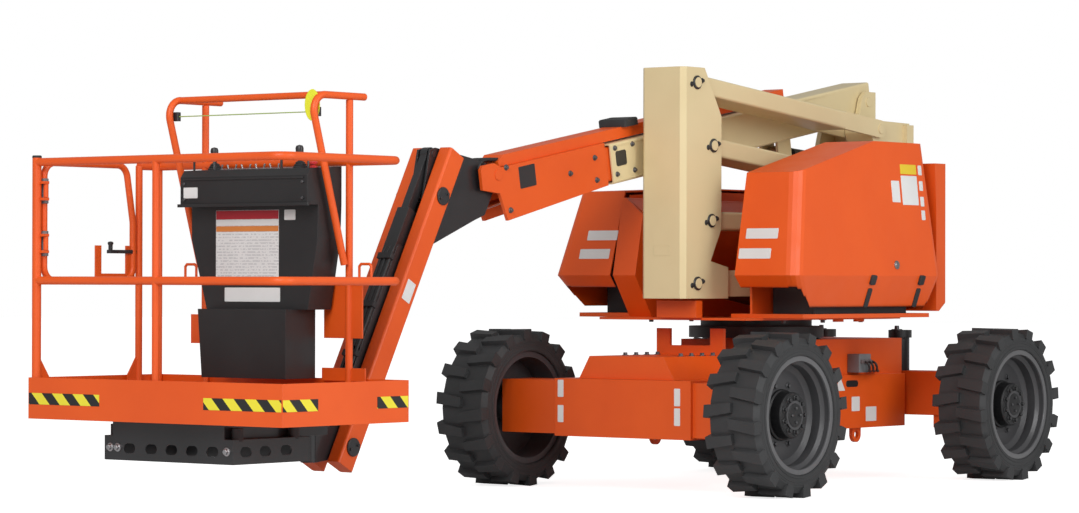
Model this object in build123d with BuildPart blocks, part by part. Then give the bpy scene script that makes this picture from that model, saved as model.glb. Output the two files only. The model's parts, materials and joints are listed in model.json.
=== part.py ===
"""Articulating boom lift, stowed. Millimetres, +X to the platform, +Y to the left side, +Z up.

The origin is on the ground, in the middle of the overall length and width. Stations are first laid
out from the swing axis and then moved to the origin by swing_x.
"""
import os
from math import atan2, cos, degrees, hypot, pi, radians, sin

from build123d import *

os.makedirs("parts", exist_ok=True)

# --- clearances -------------------------------------------------------------------------------
running_gap = 0.05    # pin radius to bore radius
seat_gap = 0.3        # between faces of pieces that only rest on each other
side_gap = 5.0        # beside a moving piece

# --- wheels and chassis -------------------------------------------------------------------------
wheelbase = 2020.0
track = 1640.0
tyre_radius = 395.0   # over the lugs
tyre_width = 290.0
tread_base_radius = 370.0
shoulder_radius = 340.0
rim_radius = 283.0
rim_wall = 16.0
lug_count = 16        # on each half of the tread
lug_reach = 44.0      # from a lug's radial plane to its far corner
disc_y = 20.0         # middle of the rim's disc, outboard of the wheel's middle
hub_radius = 108.0
hub_length = 78.0
spindle_radius = 35.0
axle_depth = 230.0
axle_bottom = 265.0
axle_top = 550.0
frame_bottom = 275.0
frame_half_width = 350.0
box_half_width = 330.0
box_top = 735.0
spine_top = 662.0
rear_beam_bottom = 330.0
rear_beam_top = 560.0
kingpin_y = 630.0
kingpin_radius = 25.0
steer_arm = (-150.0, -65.0)   # arm's end from the kingpin, along X and Y
steer_rod_x = -175.0
steer_rod_rise = 60.0
lock_cap_top = 775.0
bearing_radius = 345.0
bearing_bottom = 745.0
bearing_top = 838.0
tie_down_reach = 450.0        # each side of the swing axis
tie_down_z = 240.0
tie_down_radius = 20.0
tie_down_thickness = 20.0

# --- turntable ----------------------------------------------------------------------------------
deck_top = 850.0
hood_bottom = 890.0
hood_crease = 1060.0
hood_half_width = 748.0
hood_corner = 60.0        # radius of the hoods' upright outer corners
hood_front_x = 738.0
hood_rear_x = -600.0
hood_wall = 8.0
hood_hinge_y = 385.0
hood_left_top = 1738.0
hood_left_front_top = 1578.0
hood_right_top = 1515.0
hood_right_front_top = 1488.0
hood_slope_x = -55.0      # where the hoods' tops begin to fall to the front
hood_hinge_inset = 16.0   # hinge axis inboard of the hood's edge
hood_hinge_drop = 8.0     # and below its top
hood_hinge_pin = 5.0
cowl_inner_y = -228.0
weight_half_width = 700.0
weight_rear_x = -818.0

# --- boom planes and member sizes ------------------------------------------------------------------
tower_y = 68.0
tower_width = 265.0
boom_y = -190.0
arm_width = 220.0
pin_radius = 25.0
upright_wall = 15.0
upright_chamfer = 24.0
upright_front_wall = 12.0
beam_corner = 12.0        # outer corner radius of the box members
upper_link_height = 92.0
lower_arm_height = 130.0
base_boom_height = 200.0
base_boom_width = 180.0
base_boom_wall = 8.0
fly_boom_height = 170.0
fly_boom_width = 150.0
fly_boom_wall = 6.0
jib_gap = 90.0        # between the two jib tubes
jib_tube_width = 75.0
jib_tube_height = 110.0
jib_top_reach = 230.0     # tubes past their top pin
jib_foot_reach = 100.0    # and past their foot pin
nose_half = 80.0
tray_bottom = 110.0       # above the boom's line
tray_top = 165.0
lug_half = 40.0
lug_in = 30.0

# --- linkage, from the swing axis: (x, z) ------------------------------------------------------------
lower_arm_length = 1250.0
upper_link_length = 1708.0
upper_link_angle = 185.7
boom_angle = -10.0
boom_pin_distance = 3154.0
base_boom_length = 2280.0
nose_start = base_boom_length + 30.0   # along the boom, where the fly boom's deep nose begins
fly_start = 760.0
boom_pin_offset = 79.0
jib_length = 1294.0
jib_angle = -61.3
jib_link_offset = (-34.0, 197.0)
jib_cylinder_base = (37.0, -200.0)
jib_cylinder_eye = 800.0
rotator_offset = 160.0
rotator_to_platform = 195.0
platform_depth = 800.0
platform_width = 1500.0
platform_bottom = 425.0
rail_top = 1565.0
mid_z = 1028.0
toe_height = 180.0
tube_radius = 18.0    # rails
post_radius = 20.0    # corner posts
stile_radius = 16.0   # the other posts
guard_half = 430.0
guard_top = 1830.0
guard_radius = 16.0


def polar(start, length, angle):
    """The point at a length and an angle from the start, in the XZ plane."""
    return (start[0] + length * cos(radians(angle)), start[1] + length * sin(radians(angle)))


def along(start, angle, distance, offset=0.0):
    """The point at a distance along a line and an offset to its left."""
    return polar(polar(start, distance, angle), offset, angle + 90.0)


def shifted(start, offset):
    return (start[0] + offset[0], start[1] + offset[1])


def length_between(start, end):
    return hypot(end[0] - start[0], end[1] - start[1])


def angle_between(start, end):
    return degrees(atan2(end[1] - start[1], end[0] - start[0]))


pins = {"lower_arm_rear": (-456.0, 1020.0)}
pins["lower_link_rear"] = shifted(pins["lower_arm_rear"], (-118.0, 311.0))
pins["lower_arm_front"] = polar(pins["lower_arm_rear"], lower_arm_length, 0.0)
pins["lower_link_front"] = polar(pins["lower_link_rear"], lower_arm_length, 0.0)
pins["upper_link_front"] = shifted(pins["lower_arm_front"], (6.0, 990.0))
pins["second_link_front"] = shifted(pins["upper_link_front"], (-140.0, -307.0))
pins["upper_link_rear"] = polar(pins["upper_link_front"], upper_link_length, upper_link_angle)
pins["second_link_rear"] = polar(pins["second_link_front"], upper_link_length, upper_link_angle)
pins["boom_foot"] = shifted(pins["upper_link_rear"], (-250.0, 160.0))
pins["boom_tip"] = along(pins["boom_foot"], boom_angle, boom_pin_distance, boom_pin_offset)
pins["level_rod"] = shifted(pins["boom_tip"], (70.0, -165.0))
pins["jib_top"] = shifted(pins["boom_tip"], (454.0, -110.0))
pins["jib_foot"] = polar(pins["jib_top"], jib_length, jib_angle)
pins["jib_link_top"] = shifted(pins["jib_top"], jib_link_offset)
pins["jib_link_foot"] = shifted(pins["jib_foot"], jib_link_offset)
pins["jib_cylinder_base"] = shifted(pins["jib_top"], jib_cylinder_base)
pins["jib_cylinder_eye"] = along(pins["jib_top"], jib_angle, jib_cylinder_eye)
pins["lift_cylinder_base"] = shifted(pins["boom_foot"], (110.0, -330.0))
pins["lift_cylinder_eye"] = along(pins["boom_foot"], boom_angle, 740.0, -165.0)
pins["tower_cylinder_base"] = shifted(pins["lower_arm_rear"], (406.0, -105.0))
pins["tower_cylinder_eye"] = shifted(pins["lower_arm_rear"], (1000.0, -10.0))

front_reach = pins["jib_foot"][0] + rotator_offset + rotator_to_platform + platform_depth
rear_reach = wheelbase / 2 + tyre_radius
swing_x = (rear_reach - front_reach) / 2
pins = {name: (x + swing_x, z) for name, (x, z) in pins.items()}

front_axle_x = swing_x + wheelbase / 2
rear_axle_x = swing_x - wheelbase / 2
rotator_x = pins["jib_foot"][0] + rotator_offset
platform_rear_x = rotator_x + rotator_to_platform
platform_front_x = platform_rear_x + platform_depth
upper_angle = upper_link_angle - 180.0


# --- small shapes, all drawn in the active part -----------------------------------------------------
def block(x, y, z, mode=Mode.ADD):
    """A box from its low and high values on each axis."""
    with Locations(((x[0] + x[1]) / 2, (y[0] + y[1]) / 2, (z[0] + z[1]) / 2)):
        Box(x[1] - x[0], y[1] - y[0], z[1] - z[0], mode=mode)


def side_plate(points, y_low, y_high, mode=Mode.ADD):
    """A plate with an outline in the XZ plane."""
    with BuildSketch(Plane.XZ.offset(-y_high)) as outline:
        with BuildLine():
            Polyline(*points, close=True)
        make_face()
    extrude(outline.sketch, amount=y_high - y_low, mode=mode)


def flat_plate(points, z_low, z_high, mode=Mode.ADD):
    """A plate with an outline in the XY plane."""
    with BuildSketch(Plane.XY.offset(z_low)) as outline:
        with BuildLine():
            Polyline(*points, close=True)
        make_face()
    extrude(outline.sketch, amount=z_high - z_low, mode=mode)


def cross_rod(point, radius, y_low, y_high, mode=Mode.ADD):
    """A round rod along Y through a point of the XZ plane."""
    with BuildSketch(Plane.XZ.offset(-y_high)) as outline:
        with Locations(point):
            Circle(radius)
    extrude(outline.sketch, amount=y_high - y_low, mode=mode)


def upright_rod(x, y, radius, z_low, z_high, mode=Mode.ADD):
    with BuildSketch(Plane.XY.offset(z_low)) as outline:
        with Locations((x, y)):
            Circle(radius)
    extrude(outline.sketch, amount=z_high - z_low, mode=mode)


def lengthwise_rod(y, z, radius, x_low, x_high, mode=Mode.ADD):
    """A round rod along X."""
    with BuildSketch(Plane.YZ.offset(x_low)) as outline:
        with Locations((y, z)):
            Circle(radius)
    extrude(outline.sketch, amount=x_high - x_low, mode=mode)


def bar(start, end, height, y_low, y_high, mode=Mode.ADD):
    """A bar with round ends between two pins."""
    middle = ((start[0] + end[0]) / 2, (start[1] + end[1]) / 2)
    with BuildSketch(Plane.XZ.offset(-y_high)) as outline:
        with Locations(middle):
            SlotCenterToCenter(length_between(start, end), height, rotation=angle_between(start, end))
    extrude(outline.sketch, amount=y_high - y_low, mode=mode)


def slant_box(start, angle, distance, offset, y, mode=Mode.ADD):
    """A box along a line: its low and high distance, offset and Y."""
    corners = [along(start, angle, d, o) for d, o in (
        (distance[0], offset[0]), (distance[1], offset[0]), (distance[1], offset[1]),
        (distance[0], offset[1]))]
    side_plate(corners, y[0], y[1], mode)


def round_bar(start, end, radius, y, mode=Mode.ADD):
    """A round bar in an XZ plane between two points."""
    direction = Vector(end[0] - start[0], 0, end[1] - start[1])
    with BuildSketch(Plane(origin=(start[0], y, start[1]), z_dir=direction)) as outline:
        Circle(radius)
    extrude(outline.sketch, amount=direction.length, mode=mode)


def bent_tube(points, radius, bend=60.0, mode=Mode.ADD):
    """A round tube through points in space, bent at each corner."""
    with BuildLine(mode=Mode.PRIVATE) as path:
        if len(points) > 2:
            FilletPolyline(*points, radius=bend)
        else:
            Line(*points)
    start = Plane(origin=path.line @ 0, z_dir=path.line % 0)
    with BuildSketch(start, mode=Mode.PRIVATE) as outline:
        Circle(radius)
    sweep(outline.sketch, path=path.line, mode=mode)


def beam(start, angle, distance, size, y, corner, mode=Mode.ADD):
    """A rounded box beam along a line: its low and high distance, and its height and width."""
    low = along(start, angle, distance[0])
    direction = (cos(radians(angle)), 0.0, sin(radians(angle)))
    end = Plane(origin=(low[0], y, low[1]), x_dir=(0.0, 1.0, 0.0), z_dir=direction)
    with BuildSketch(end, mode=Mode.PRIVATE) as outline:
        RectangleRounded(size[1], size[0], corner)
    extrude(outline.sketch, amount=distance[1] - distance[0], mode=mode)


def boom_plate(corners, y_low, y_high, mode=Mode.ADD):
    """A plate whose corners are given along and above the main boom's line."""
    side_plate([along(pins["boom_foot"], boom_angle, d, o) for d, o in corners], y_low, y_high, mode)


def save(part, name):
    part.label = name
    export_step(part, f"parts/{name}.step")


def both(half_low, half_high):
    """The low and high Y of a pair of mirrored pieces."""
    return ((-half_high, -half_low), (half_low, half_high))


# --- chassis ----------------------------------------------------------------------------------------
frame_rear_x = rear_axle_x + axle_depth / 2 + 30.0
frame_front_x = front_axle_x - axle_depth / 2
box_front_x = swing_x + 200.0
cross_plate_x = (swing_x + 560.0, swing_x + 580.0)
with BuildPart() as chassis_frame:
    block((frame_rear_x, frame_front_x), (-frame_half_width, frame_half_width), (frame_bottom, axle_top))
    block((frame_rear_x, box_front_x), (-box_half_width, box_half_width), (axle_top, box_top))
    with BuildSketch(Plane.YZ.offset(box_front_x)):
        with BuildLine():
            Polyline((-290.0, axle_top), (290.0, axle_top), (225.0, spine_top), (-225.0, spine_top),
                     close=True)
        make_face()
    extrude(amount=front_axle_x + 100.0 - box_front_x)
    upright_rod(swing_x, 0.0, bearing_radius - 95.0, spine_top - 20.0, bearing_bottom)
    block(cross_plate_x, (-206.0, 206.0), (spine_top, 710.0))
    for y in both(125.0, 206.0):
        block(cross_plate_x, y, (700.0, 795.0))
    for x in (swing_x - tie_down_reach, swing_x + tie_down_reach):
        for side in (-1, 1):
            y = sorted((side * (frame_half_width - 50.0),
                        side * (frame_half_width - 50.0 + tie_down_thickness)))
            bar((x, tie_down_z), (x, frame_bottom + 45.0), 4 * tie_down_radius, *y)
            cross_rod((x, tie_down_z), tie_down_radius, y[0] - 1.0, y[1] + 1.0, Mode.SUBTRACT)
save(chassis_frame.part, "chassis_frame")

hub_face = track / 2 - 50.0
beam_x = (frame_front_x + seat_gap, front_axle_x + axle_depth / 2 + 20.0)
with BuildPart() as front_axle:
    block(beam_x, (-415.0, 415.0), (axle_bottom, axle_top - seat_gap))
    for y in both(400.0, hub_face - side_gap):
        block((beam_x[0], front_axle_x + axle_depth / 2), y, (axle_bottom + 10.0, axle_top - 10.0))
    cross_rod((front_axle_x, tyre_radius), spindle_radius, -track / 2 - 10.0, track / 2 + 10.0)
save(front_axle.part, "front_axle")

yoke_y = (kingpin_y - 45.0, kingpin_y + 45.0)
yoke_z = ((tyre_radius - 130.0, tyre_radius - 95.0), (tyre_radius + 95.0, tyre_radius + 130.0))
rod_x = rear_axle_x + steer_rod_x
rod_z = tyre_radius + steer_rod_rise
with BuildPart() as rear_axle:
    beam_half = yoke_y[0] - 45.0
    block((rear_axle_x - 90.0, rear_axle_x + 90.0), (-beam_half, beam_half),
          (rear_beam_bottom, rear_beam_top))
    for side in (-1, 1):
        y = sorted((side * (beam_half - 60.0), side * beam_half))
        block((rear_axle_x - 70.0, rear_axle_x + 70.0), y, (yoke_z[0][0], rear_beam_bottom + 1.0))
        for z in yoke_z:
            y = sorted((side * (beam_half - 1.0), side * yoke_y[1]))
            block((rear_axle_x - 55.0, rear_axle_x + 55.0), y, z)
        upright_rod(rear_axle_x, side * kingpin_y, kingpin_radius + running_gap, 200.0, 600.0, Mode.SUBTRACT)
        block((rear_axle_x - 95.0, rear_axle_x + 15.0), sorted((side * 440.0, side * 545.0)),
              (tyre_radius - 30.0, tyre_radius + 30.0), Mode.SUBTRACT)
    block((rear_axle_x + 89.0, frame_rear_x - seat_gap), (-60.0, 60.0),
          (tyre_radius - 50.0, tyre_radius + 70.0))
    block((rear_axle_x - 140.0, rear_axle_x - 89.0), (-80.0, 80.0), (rod_z - 40.0, rod_z + 30.0))
    with Locations((rod_x, 0.0, rod_z)):
        Cylinder(38.0, 520.0, rotation=(90, 0, 0))
        Cylinder(18.0 + running_gap, 600.0, rotation=(90, 0, 0), mode=Mode.SUBTRACT)
save(rear_axle.part, "rear_axle")

for side, name in ((1, "steering_knuckle_left"), (-1, "steering_knuckle_right")):
    with BuildPart() as steering_knuckle:
        y = sorted((side * (kingpin_y - 50.0), side * (kingpin_y + 50.0)))
        block((rear_axle_x - 50.0, rear_axle_x + 50.0), y, (tyre_radius - 90.0, tyre_radius + 90.0))
        upright_rod(rear_axle_x, side * kingpin_y, kingpin_radius, tyre_radius - 140.0, tyre_radius + 140.0)
        y = sorted((side * kingpin_y, side * (track / 2 + 10.0)))
        cross_rod((rear_axle_x, tyre_radius), spindle_radius, *y)
        y = sorted((side * kingpin_y, side * (hub_face - side_gap)))
        cross_rod((rear_axle_x, tyre_radius), 60.0, *y)
        y = sorted((side * (kingpin_y + steer_arm[1] - 25.0), side * (kingpin_y - 10.0)))
        block((rear_axle_x + steer_arm[0] - 25.0, rear_axle_x - 40.0), y,
              (tyre_radius - 15.0, tyre_radius + 15.0))
    save(steering_knuckle.part, name)

with BuildPart() as steering_rod:
    with Locations((rod_x, 0.0, rod_z)):
        Cylinder(18.0, 2 * (kingpin_y + steer_arm[1]), rotation=(90, 0, 0))
    for side in (-1, 1):
        y = sorted((side * (kingpin_y + steer_arm[1] - 25.0), side * (kingpin_y + steer_arm[1] + 25.0)))
        block((rod_x - 25.0, rod_x + 45.0), y, (rod_z - 40.0, rod_z + 25.0))
save(steering_rod.part, "steering_rod")

with BuildPart() as axle_lock_cylinders:
    for side in (-1, 1):
        upright_rod(rear_axle_x + 20.0, side * 240.0, 50.0, rear_beam_top + seat_gap, box_top)
        upright_rod(rear_axle_x + 20.0, side * 240.0, 62.0, box_top - 1.0, lock_cap_top)
        y = sorted((side * 200.0, side * 280.0))
        block((rear_axle_x + 20.0, frame_rear_x - seat_gap), y, (box_top - 35.0, box_top - 2.0))
save(axle_lock_cylinders.part, "axle_lock_cylinders")

with BuildPart() as swing_bearing:
    upright_rod(swing_x, 0.0, bearing_radius, bearing_bottom, bearing_top - 35.0)
    upright_rod(swing_x, 0.0, bearing_radius - 60.0, bearing_top - 36.0, bearing_top - seat_gap)
save(swing_bearing.part, "swing_bearing")


# --- wheels -----------------------------------------------------------------------------------------
def make_tyre():
    """A tyre about the Y axis: a many-sided carcass and two rows of slanted lugs."""
    sides = 2 * lug_count
    half = tyre_width / 2
    lug_top = (tyre_radius ** 2 - lug_reach ** 2) ** 0.5
    lug_root = tread_base_radius - 25.0
    with BuildPart() as tyre:
        with BuildSketch(Plane.XZ.offset(22.0 - half)):
            RegularPolygon(tread_base_radius, sides)
        extrude(amount=2 * half - 44.0)
        for side in (-1, 1):
            for half_width, radius in ((half - 22.0, tread_base_radius), (half - 4.0, shoulder_radius)):
                with BuildSketch(Plane.XZ.offset(-side * half_width)):
                    RegularPolygon(radius, sides)
            loft(ruled=True)
        for row in (-1, 1):
            for index in range(lug_count):
                turn = (index + (0.25 if row > 0 else 0.75)) * 360.0 / lug_count
                with BuildSketch(Plane.XY.rotated((0, turn, 0)).offset(lug_root)):
                    with BuildLine():
                        Polyline((-30, row * -6), (18, row * -6), (lug_reach, row * half),
                                 (-16, row * half), close=True)
                    make_face()
                extrude(amount=lug_top - lug_root)
        with BuildSketch(Plane.XZ.offset(-half - 5.0)):
            RegularPolygon(rim_radius + seat_gap + 1.5, sides)
        extrude(amount=tyre_width + 10.0, mode=Mode.SUBTRACT)
    return tyre.part


def make_rim():
    """A rim about the Y axis with its recessed disc and hub towards +Y."""
    lip_y = tyre_width / 2 - 16.0
    barrel = rim_radius - rim_wall
    bore = spindle_radius + running_gap
    with BuildPart() as rim:
        with BuildSketch(Plane.XY):
            with BuildLine():
                Polyline((barrel - 14.0, -lip_y), (rim_radius, -lip_y), (rim_radius, lip_y),
                         (barrel - 6.0, lip_y),
                         (barrel - 6.0, lip_y - 26.0), (barrel - 24.0, lip_y - 40.0),
                         (barrel - 24.0, disc_y + 24.0),
                         (barrel - 50.0, disc_y + 9.0), (bore, disc_y + 9.0), (bore, disc_y - 9.0),
                         (barrel - 14.0, disc_y - 9.0), close=True)
            make_face()
        revolve(axis=Axis.Y)
        with BuildSketch(Plane.XZ.offset(-disc_y - 8.0)):
            Circle(hub_radius)
            Circle(bore, mode=Mode.SUBTRACT)
        extrude(amount=8.0 - hub_length)
        with BuildSketch(Plane.XZ.offset(-disc_y - hub_length + 1.0)):
            Circle(hub_radius - 38.0)
        extrude(amount=-12.0)
        with BuildSketch(Plane.XZ.offset(hub_face - track / 2 + 95.0)):
            Circle(85.0)
            Circle(bore, mode=Mode.SUBTRACT)
        extrude(amount=hub_face - track / 2 - 10.0)
    return rim.part


tyre_solid = make_tyre()
rim_solid = make_rim()
for name, wheel_x, side in (("front_left", front_axle_x, 1), ("front_right", front_axle_x, -1),
                            ("rear_left", rear_axle_x, 1), ("rear_right", rear_axle_x, -1)):
    place = Pos(wheel_x, side * track / 2, tyre_radius) * Rot(0, 0, 0 if side > 0 else 180)
    save(place * tyre_solid, f"tyre_{name}")
    save(place * rim_solid, f"rim_{name}")

# --- turntable --------------------------------------------------------------------------------------
arm_half = arm_width / 2
tower_half = tower_width / 2
wall_y = (hood_hinge_y - 18.0, hood_hinge_y - side_gap)
cheek_out = arm_half + side_gap + 25.0      # tower cheeks, from the tower's middle
deck_x = (swing_x - 600.0, swing_x + 735.0)
hood_hinge_x = (swing_x - 460.0, swing_x - 130.0)
hoods = (  # name, side, top at the rear, top at the front
    ("hood_left", 1, hood_left_top, hood_left_front_top),
    ("hood_right", -1, hood_right_top, hood_right_front_top),
)
with BuildPart() as turntable_frame:
    block(deck_x, (-450.0, 450.0), (bearing_top, deck_top))
    block((swing_x - 710.0, deck_x[0] + 1.0), (-420.0, 420.0), (bearing_top, deck_top))
    for y in both(260.0, 690.0):
        block((deck_x[0] + 40.0, swing_x + 590.0), y, (deck_top - 1.0, deck_top + 20.0))
    for y in ((tower_y - cheek_out, tower_y - cheek_out + 25.0),
              (tower_y + cheek_out - 25.0, tower_y + cheek_out)):
        side_plate(((swing_x - 600.0, deck_top), (swing_x - 60.0, deck_top), (swing_x - 300.0, 1060.0),
                    (swing_x - 500.0, 1400.0), (swing_x - 640.0, 1400.0)), *y)
    for name in ("lower_arm_rear", "lower_link_rear"):
        cross_rod(pins[name], pin_radius, tower_y - cheek_out - 5.0, tower_y + cheek_out + 5.0)
    base = pins["tower_cylinder_base"]
    for y in ((tower_y - 60.0, tower_y - 45.0), (tower_y + 45.0, tower_y + 60.0)):
        side_plate(((base[0] - 60.0, deck_top), (base[0] + 60.0, deck_top), (base[0] + 35.0, base[1] + 35.0),
                    (base[0] - 35.0, base[1] + 35.0)), *y)
    cross_rod(base, 22.0, tower_y - 65.0, tower_y + 65.0)
    rest_x = pins["lower_arm_front"][0]
    block((rest_x - 60.0, rest_x - 5.0), (tower_y - 120.0, tower_y + 120.0), (deck_top, 940.0 - side_gap))
    for name, side, rear_top, front_top in hoods:
        side_plate(((swing_x - 560.0, deck_top), (swing_x + 580.0, deck_top),
                    (swing_x + 580.0, front_top - 20.0),
                    (swing_x + hood_slope_x, rear_top - 20.0), (swing_x - 520.0, rear_top - 20.0)),
                   *sorted((side * wall_y[0], side * wall_y[1])))
        hinge_y = side * (hood_hinge_y - hood_hinge_inset)
        hinge_z = rear_top - hood_hinge_drop
        for x in hood_hinge_x:
            block((x - 6.0, x + 6.0), (hinge_y - 7.0, hinge_y + 7.0), (rear_top - 60.0, hinge_z))
            lengthwise_rod(hinge_y, hinge_z, 10.0, x - 6.0, x + 6.0)
            lengthwise_rod(hinge_y, hinge_z, hood_hinge_pin, x - 40.0, x + 40.0)
    cowl = [(swing_x - 540.0, deck_top), (swing_x + 590.0, deck_top),
            (swing_x + hood_front_x - 5.0, hood_crease),
            (swing_x + 650.0, 1452.0), (swing_x - 520.0, 1452.0)]
    side_plate(cowl, -wall_y[0] - 1.0, cowl_inner_y)
    cowl = [(cowl[0][0] + 8.0, deck_top + 8.0), (cowl[1][0] - 8.0, deck_top + 8.0),
            (cowl[2][0] - 8.0, hood_crease),
            (cowl[3][0] - 8.0, cowl[3][1] - 8.0), (cowl[4][0] + 8.0, cowl[4][1] - 8.0)]
    side_plate(cowl, -wall_y[0] - 2.0, cowl_inner_y - 8.0, Mode.SUBTRACT)
    with BuildSketch(Plane.YZ.offset(swing_x - 600.0), mode=Mode.PRIVATE) as slope:
        with BuildLine():
            Polyline((-wall_y[0] + 15.0, 1453.0), (-wall_y[0] + 20.0, 1453.0), (cowl_inner_y + 1.0, 1365.0),
                     (cowl_inner_y + 1.0, 1500.0), (-wall_y[0] + 15.0, 1500.0), close=True)
        make_face()
    extrude(slope.sketch, amount=1400.0, mode=Mode.SUBTRACT)
    with BuildSketch(Plane.YZ.offset(swing_x - 520.0), mode=Mode.PRIVATE) as slope:
        with BuildLine():
            Polyline((-wall_y[0] + 1.0, 1452.0), (-wall_y[0] + 20.0, 1452.0), (cowl_inner_y, 1365.0),
                     (cowl_inner_y, 1356.0), (-wall_y[0] + 18.0, 1443.0), (-wall_y[0] + 1.0, 1443.0),
                     close=True)
        make_face()
    extrude(slope.sketch, amount=1160.0)
save(turntable_frame.part, "turntable_frame")

with BuildPart() as counterweight:
    side_plate(((swing_x + hood_rear_x - 15.0, 880.0), (swing_x - 640.0, 880.0), (swing_x - 790.0, 985.0),
                (swing_x + weight_rear_x, hood_crease), (swing_x - 750.0, 1640.0), (swing_x - 600.0, 1640.0),
                (swing_x + hood_rear_x - 15.0, 1400.0)), -weight_half_width, weight_half_width)
    for side in (-1, 1):
        outer = side * (weight_half_width + 1.0)
        flat_plate(((swing_x - 700.0, outer), (swing_x - 900.0, outer), (swing_x - 900.0, side * 560.0)),
                   800.0, 1700.0, Mode.SUBTRACT)
    block((swing_x - 900.0, swing_x - 500.0), (-420.0, 330.0), (1420.0, 1700.0), Mode.SUBTRACT)
    block((swing_x - 900.0, swing_x - 500.0), (-weight_half_width - 1.0, -419.0), (1500.0, 1700.0),
          Mode.SUBTRACT)
    well = (tower_y - cheek_out - 15.0, tower_y + cheek_out + 15.0)
    block((swing_x - 710.0, swing_x - 500.0), well, (870.0, 1700.0), Mode.SUBTRACT)
    for y in ((-400.0, well[0] - 1.0), (well[1] + 1.0, 400.0)):
        block((swing_x - 700.0, swing_x + hood_rear_x - 15.0), y, (deck_top + seat_gap, 881.0))
save(counterweight.part, "counterweight")

with BuildPart() as engine_block:
    block((swing_x - 420.0, swing_x + 420.0), (hood_hinge_y + 10.0, 640.0),
          (deck_top + 20.0 + seat_gap, 1450.0))
save(engine_block.part, "engine_block")
with BuildPart() as hydraulic_tank:
    block((swing_x - 420.0, swing_x + 420.0), (-640.0, -430.0), (deck_top + 20.0 + seat_gap, 1300.0))
save(hydraulic_tank.part, "hydraulic_tank")


def hood_solid(shrink, side, rear_top, front_top):
    """A hood's outline, drawn in by a distance on every side but its open ones."""
    open_reach = 30.0 if shrink else 0.0
    levels = (  # z, front x, rear x, outer y
        (hood_bottom - open_reach, hood_front_x - 150.0, hood_rear_x + 40.0, hood_half_width - 58.0),
        (hood_crease, hood_front_x, hood_rear_x, hood_half_width),
        (rear_top - shrink, hood_front_x - 138.0, hood_rear_x + 66.0, hood_half_width - 68.0),
    )
    sections = []
    for z, front, rear, outer in levels:
        rear_edge = swing_x + rear + shrink
        front_edge = swing_x + front - shrink
        inner_edge = side * (hood_hinge_y - open_reach)
        outer_edge = side * (outer - shrink)
        corner = hood_corner - shrink
        turn = [(corner - corner * cos(step * pi / 8), side * (corner * sin(step * pi / 8) - corner))
                for step in range(5)]
        front_corner = [(front_edge - x, outer_edge + y) for x, y in turn]
        rear_corner = [(rear_edge + x, outer_edge + y) for x, y in reversed(turn)]
        with BuildSketch(Plane.XY.offset(z)) as level:
            with BuildLine():
                Polyline((rear_edge, inner_edge), (front_edge, inner_edge), *front_corner, *rear_corner,
                         close=True)
            make_face()
        sections.append(level.sketch)
    slope = (rear_top - front_top) / (hood_front_x - 150.0 - hood_slope_x)
    with BuildPart() as solid:
        loft(sections, ruled=True)
        side_plate(((swing_x + hood_slope_x, rear_top - shrink), (swing_x + hood_slope_x, rear_top + 500.0),
                    (swing_x + 900.0, rear_top + 500.0),
                    (swing_x + 900.0, rear_top - shrink - slope * (900.0 - hood_slope_x))),
                   -900.0, 900.0, Mode.SUBTRACT)
    return solid.part


for name, side, rear_top, front_top in hoods:
    outside = hood_solid(0.0, side, rear_top, front_top)
    inside = hood_solid(hood_wall, side, rear_top, front_top)
    with BuildPart() as hood:
        add(outside)
        add(inside, mode=Mode.SUBTRACT)
        hinge_y = side * (hood_hinge_y - hood_hinge_inset)
        hinge_z = rear_top - hood_hinge_drop
        for x in hood_hinge_x:
            for x_low in (x - 36.0, x + 12.0):
                lengthwise_rod(hinge_y, hinge_z, 9.0, x_low, x_low + 24.0)
                y = sorted((hinge_y, side * (hood_hinge_y + 1.0)))
                block((x_low, x_low + 24.0), y, (hinge_z + 1.0, hinge_z + 7.0))
                lengthwise_rod(hinge_y, hinge_z, hood_hinge_pin + running_gap, x_low - 1.0, x_low + 25.0,
                               Mode.SUBTRACT)
    save(hood.part, name)

# --- tower ------------------------------------------------------------------------------------------
plate_in = tower_half - upright_wall
upright_rear_x = swing_x + 591.0
upright_front_x = pins["lower_arm_front"][0] + 116.0
upright_bottom = 945.0
upright_top = pins["upper_link_front"][1] + 75.0
with BuildPart() as upright:
    outer = (tower_y - tower_half, tower_y + tower_half)
    flat_plate(((upright_rear_x - 60.0, outer[0]), (upright_front_x - upright_chamfer, outer[0]),
                (upright_front_x, outer[0] + upright_chamfer), (upright_front_x, outer[1] - upright_chamfer),
                (upright_front_x - upright_chamfer, outer[1]), (upright_rear_x - 60.0, outer[1])),
               upright_bottom, upright_top)
    inner = (tower_y - plate_in, tower_y + plate_in)
    front = upright_front_x - upright_front_wall
    flat_plate(((upright_rear_x - 61.0, inner[0]), (front - upright_chamfer, inner[0]),
                (front, inner[0] + upright_chamfer - 6.0), (front, inner[1] - upright_chamfer + 6.0),
                (front - upright_chamfer, inner[1]), (upright_rear_x - 61.0, inner[1])),
               upright_bottom - 1.0, upright_top - upright_front_wall, Mode.SUBTRACT)
    block((upright_rear_x - 61.0, pins["upper_link_front"][0] + 34.0), inner,
          (upright_top - 20.0, upright_top + 1.0), Mode.SUBTRACT)
    side_plate(((upright_rear_x - 61.0, 1100.0), (upright_rear_x + 90.0, 1130.0), (upright_rear_x, 1290.0),
                (upright_rear_x, 1850.0), (upright_front_x - 175.0, upright_top + 1.0),
                (upright_rear_x - 61.0, upright_top + 1.0)), outer[0] - 1.0, outer[1] + 1.0, Mode.SUBTRACT)
    for name in ("lower_arm_front", "lower_link_front", "upper_link_front", "second_link_front"):
        cross_rod(pins[name], pin_radius, tower_y - tower_half - 6.0, tower_y + tower_half + 12.0)
save(upright.part, "upright")


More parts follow.
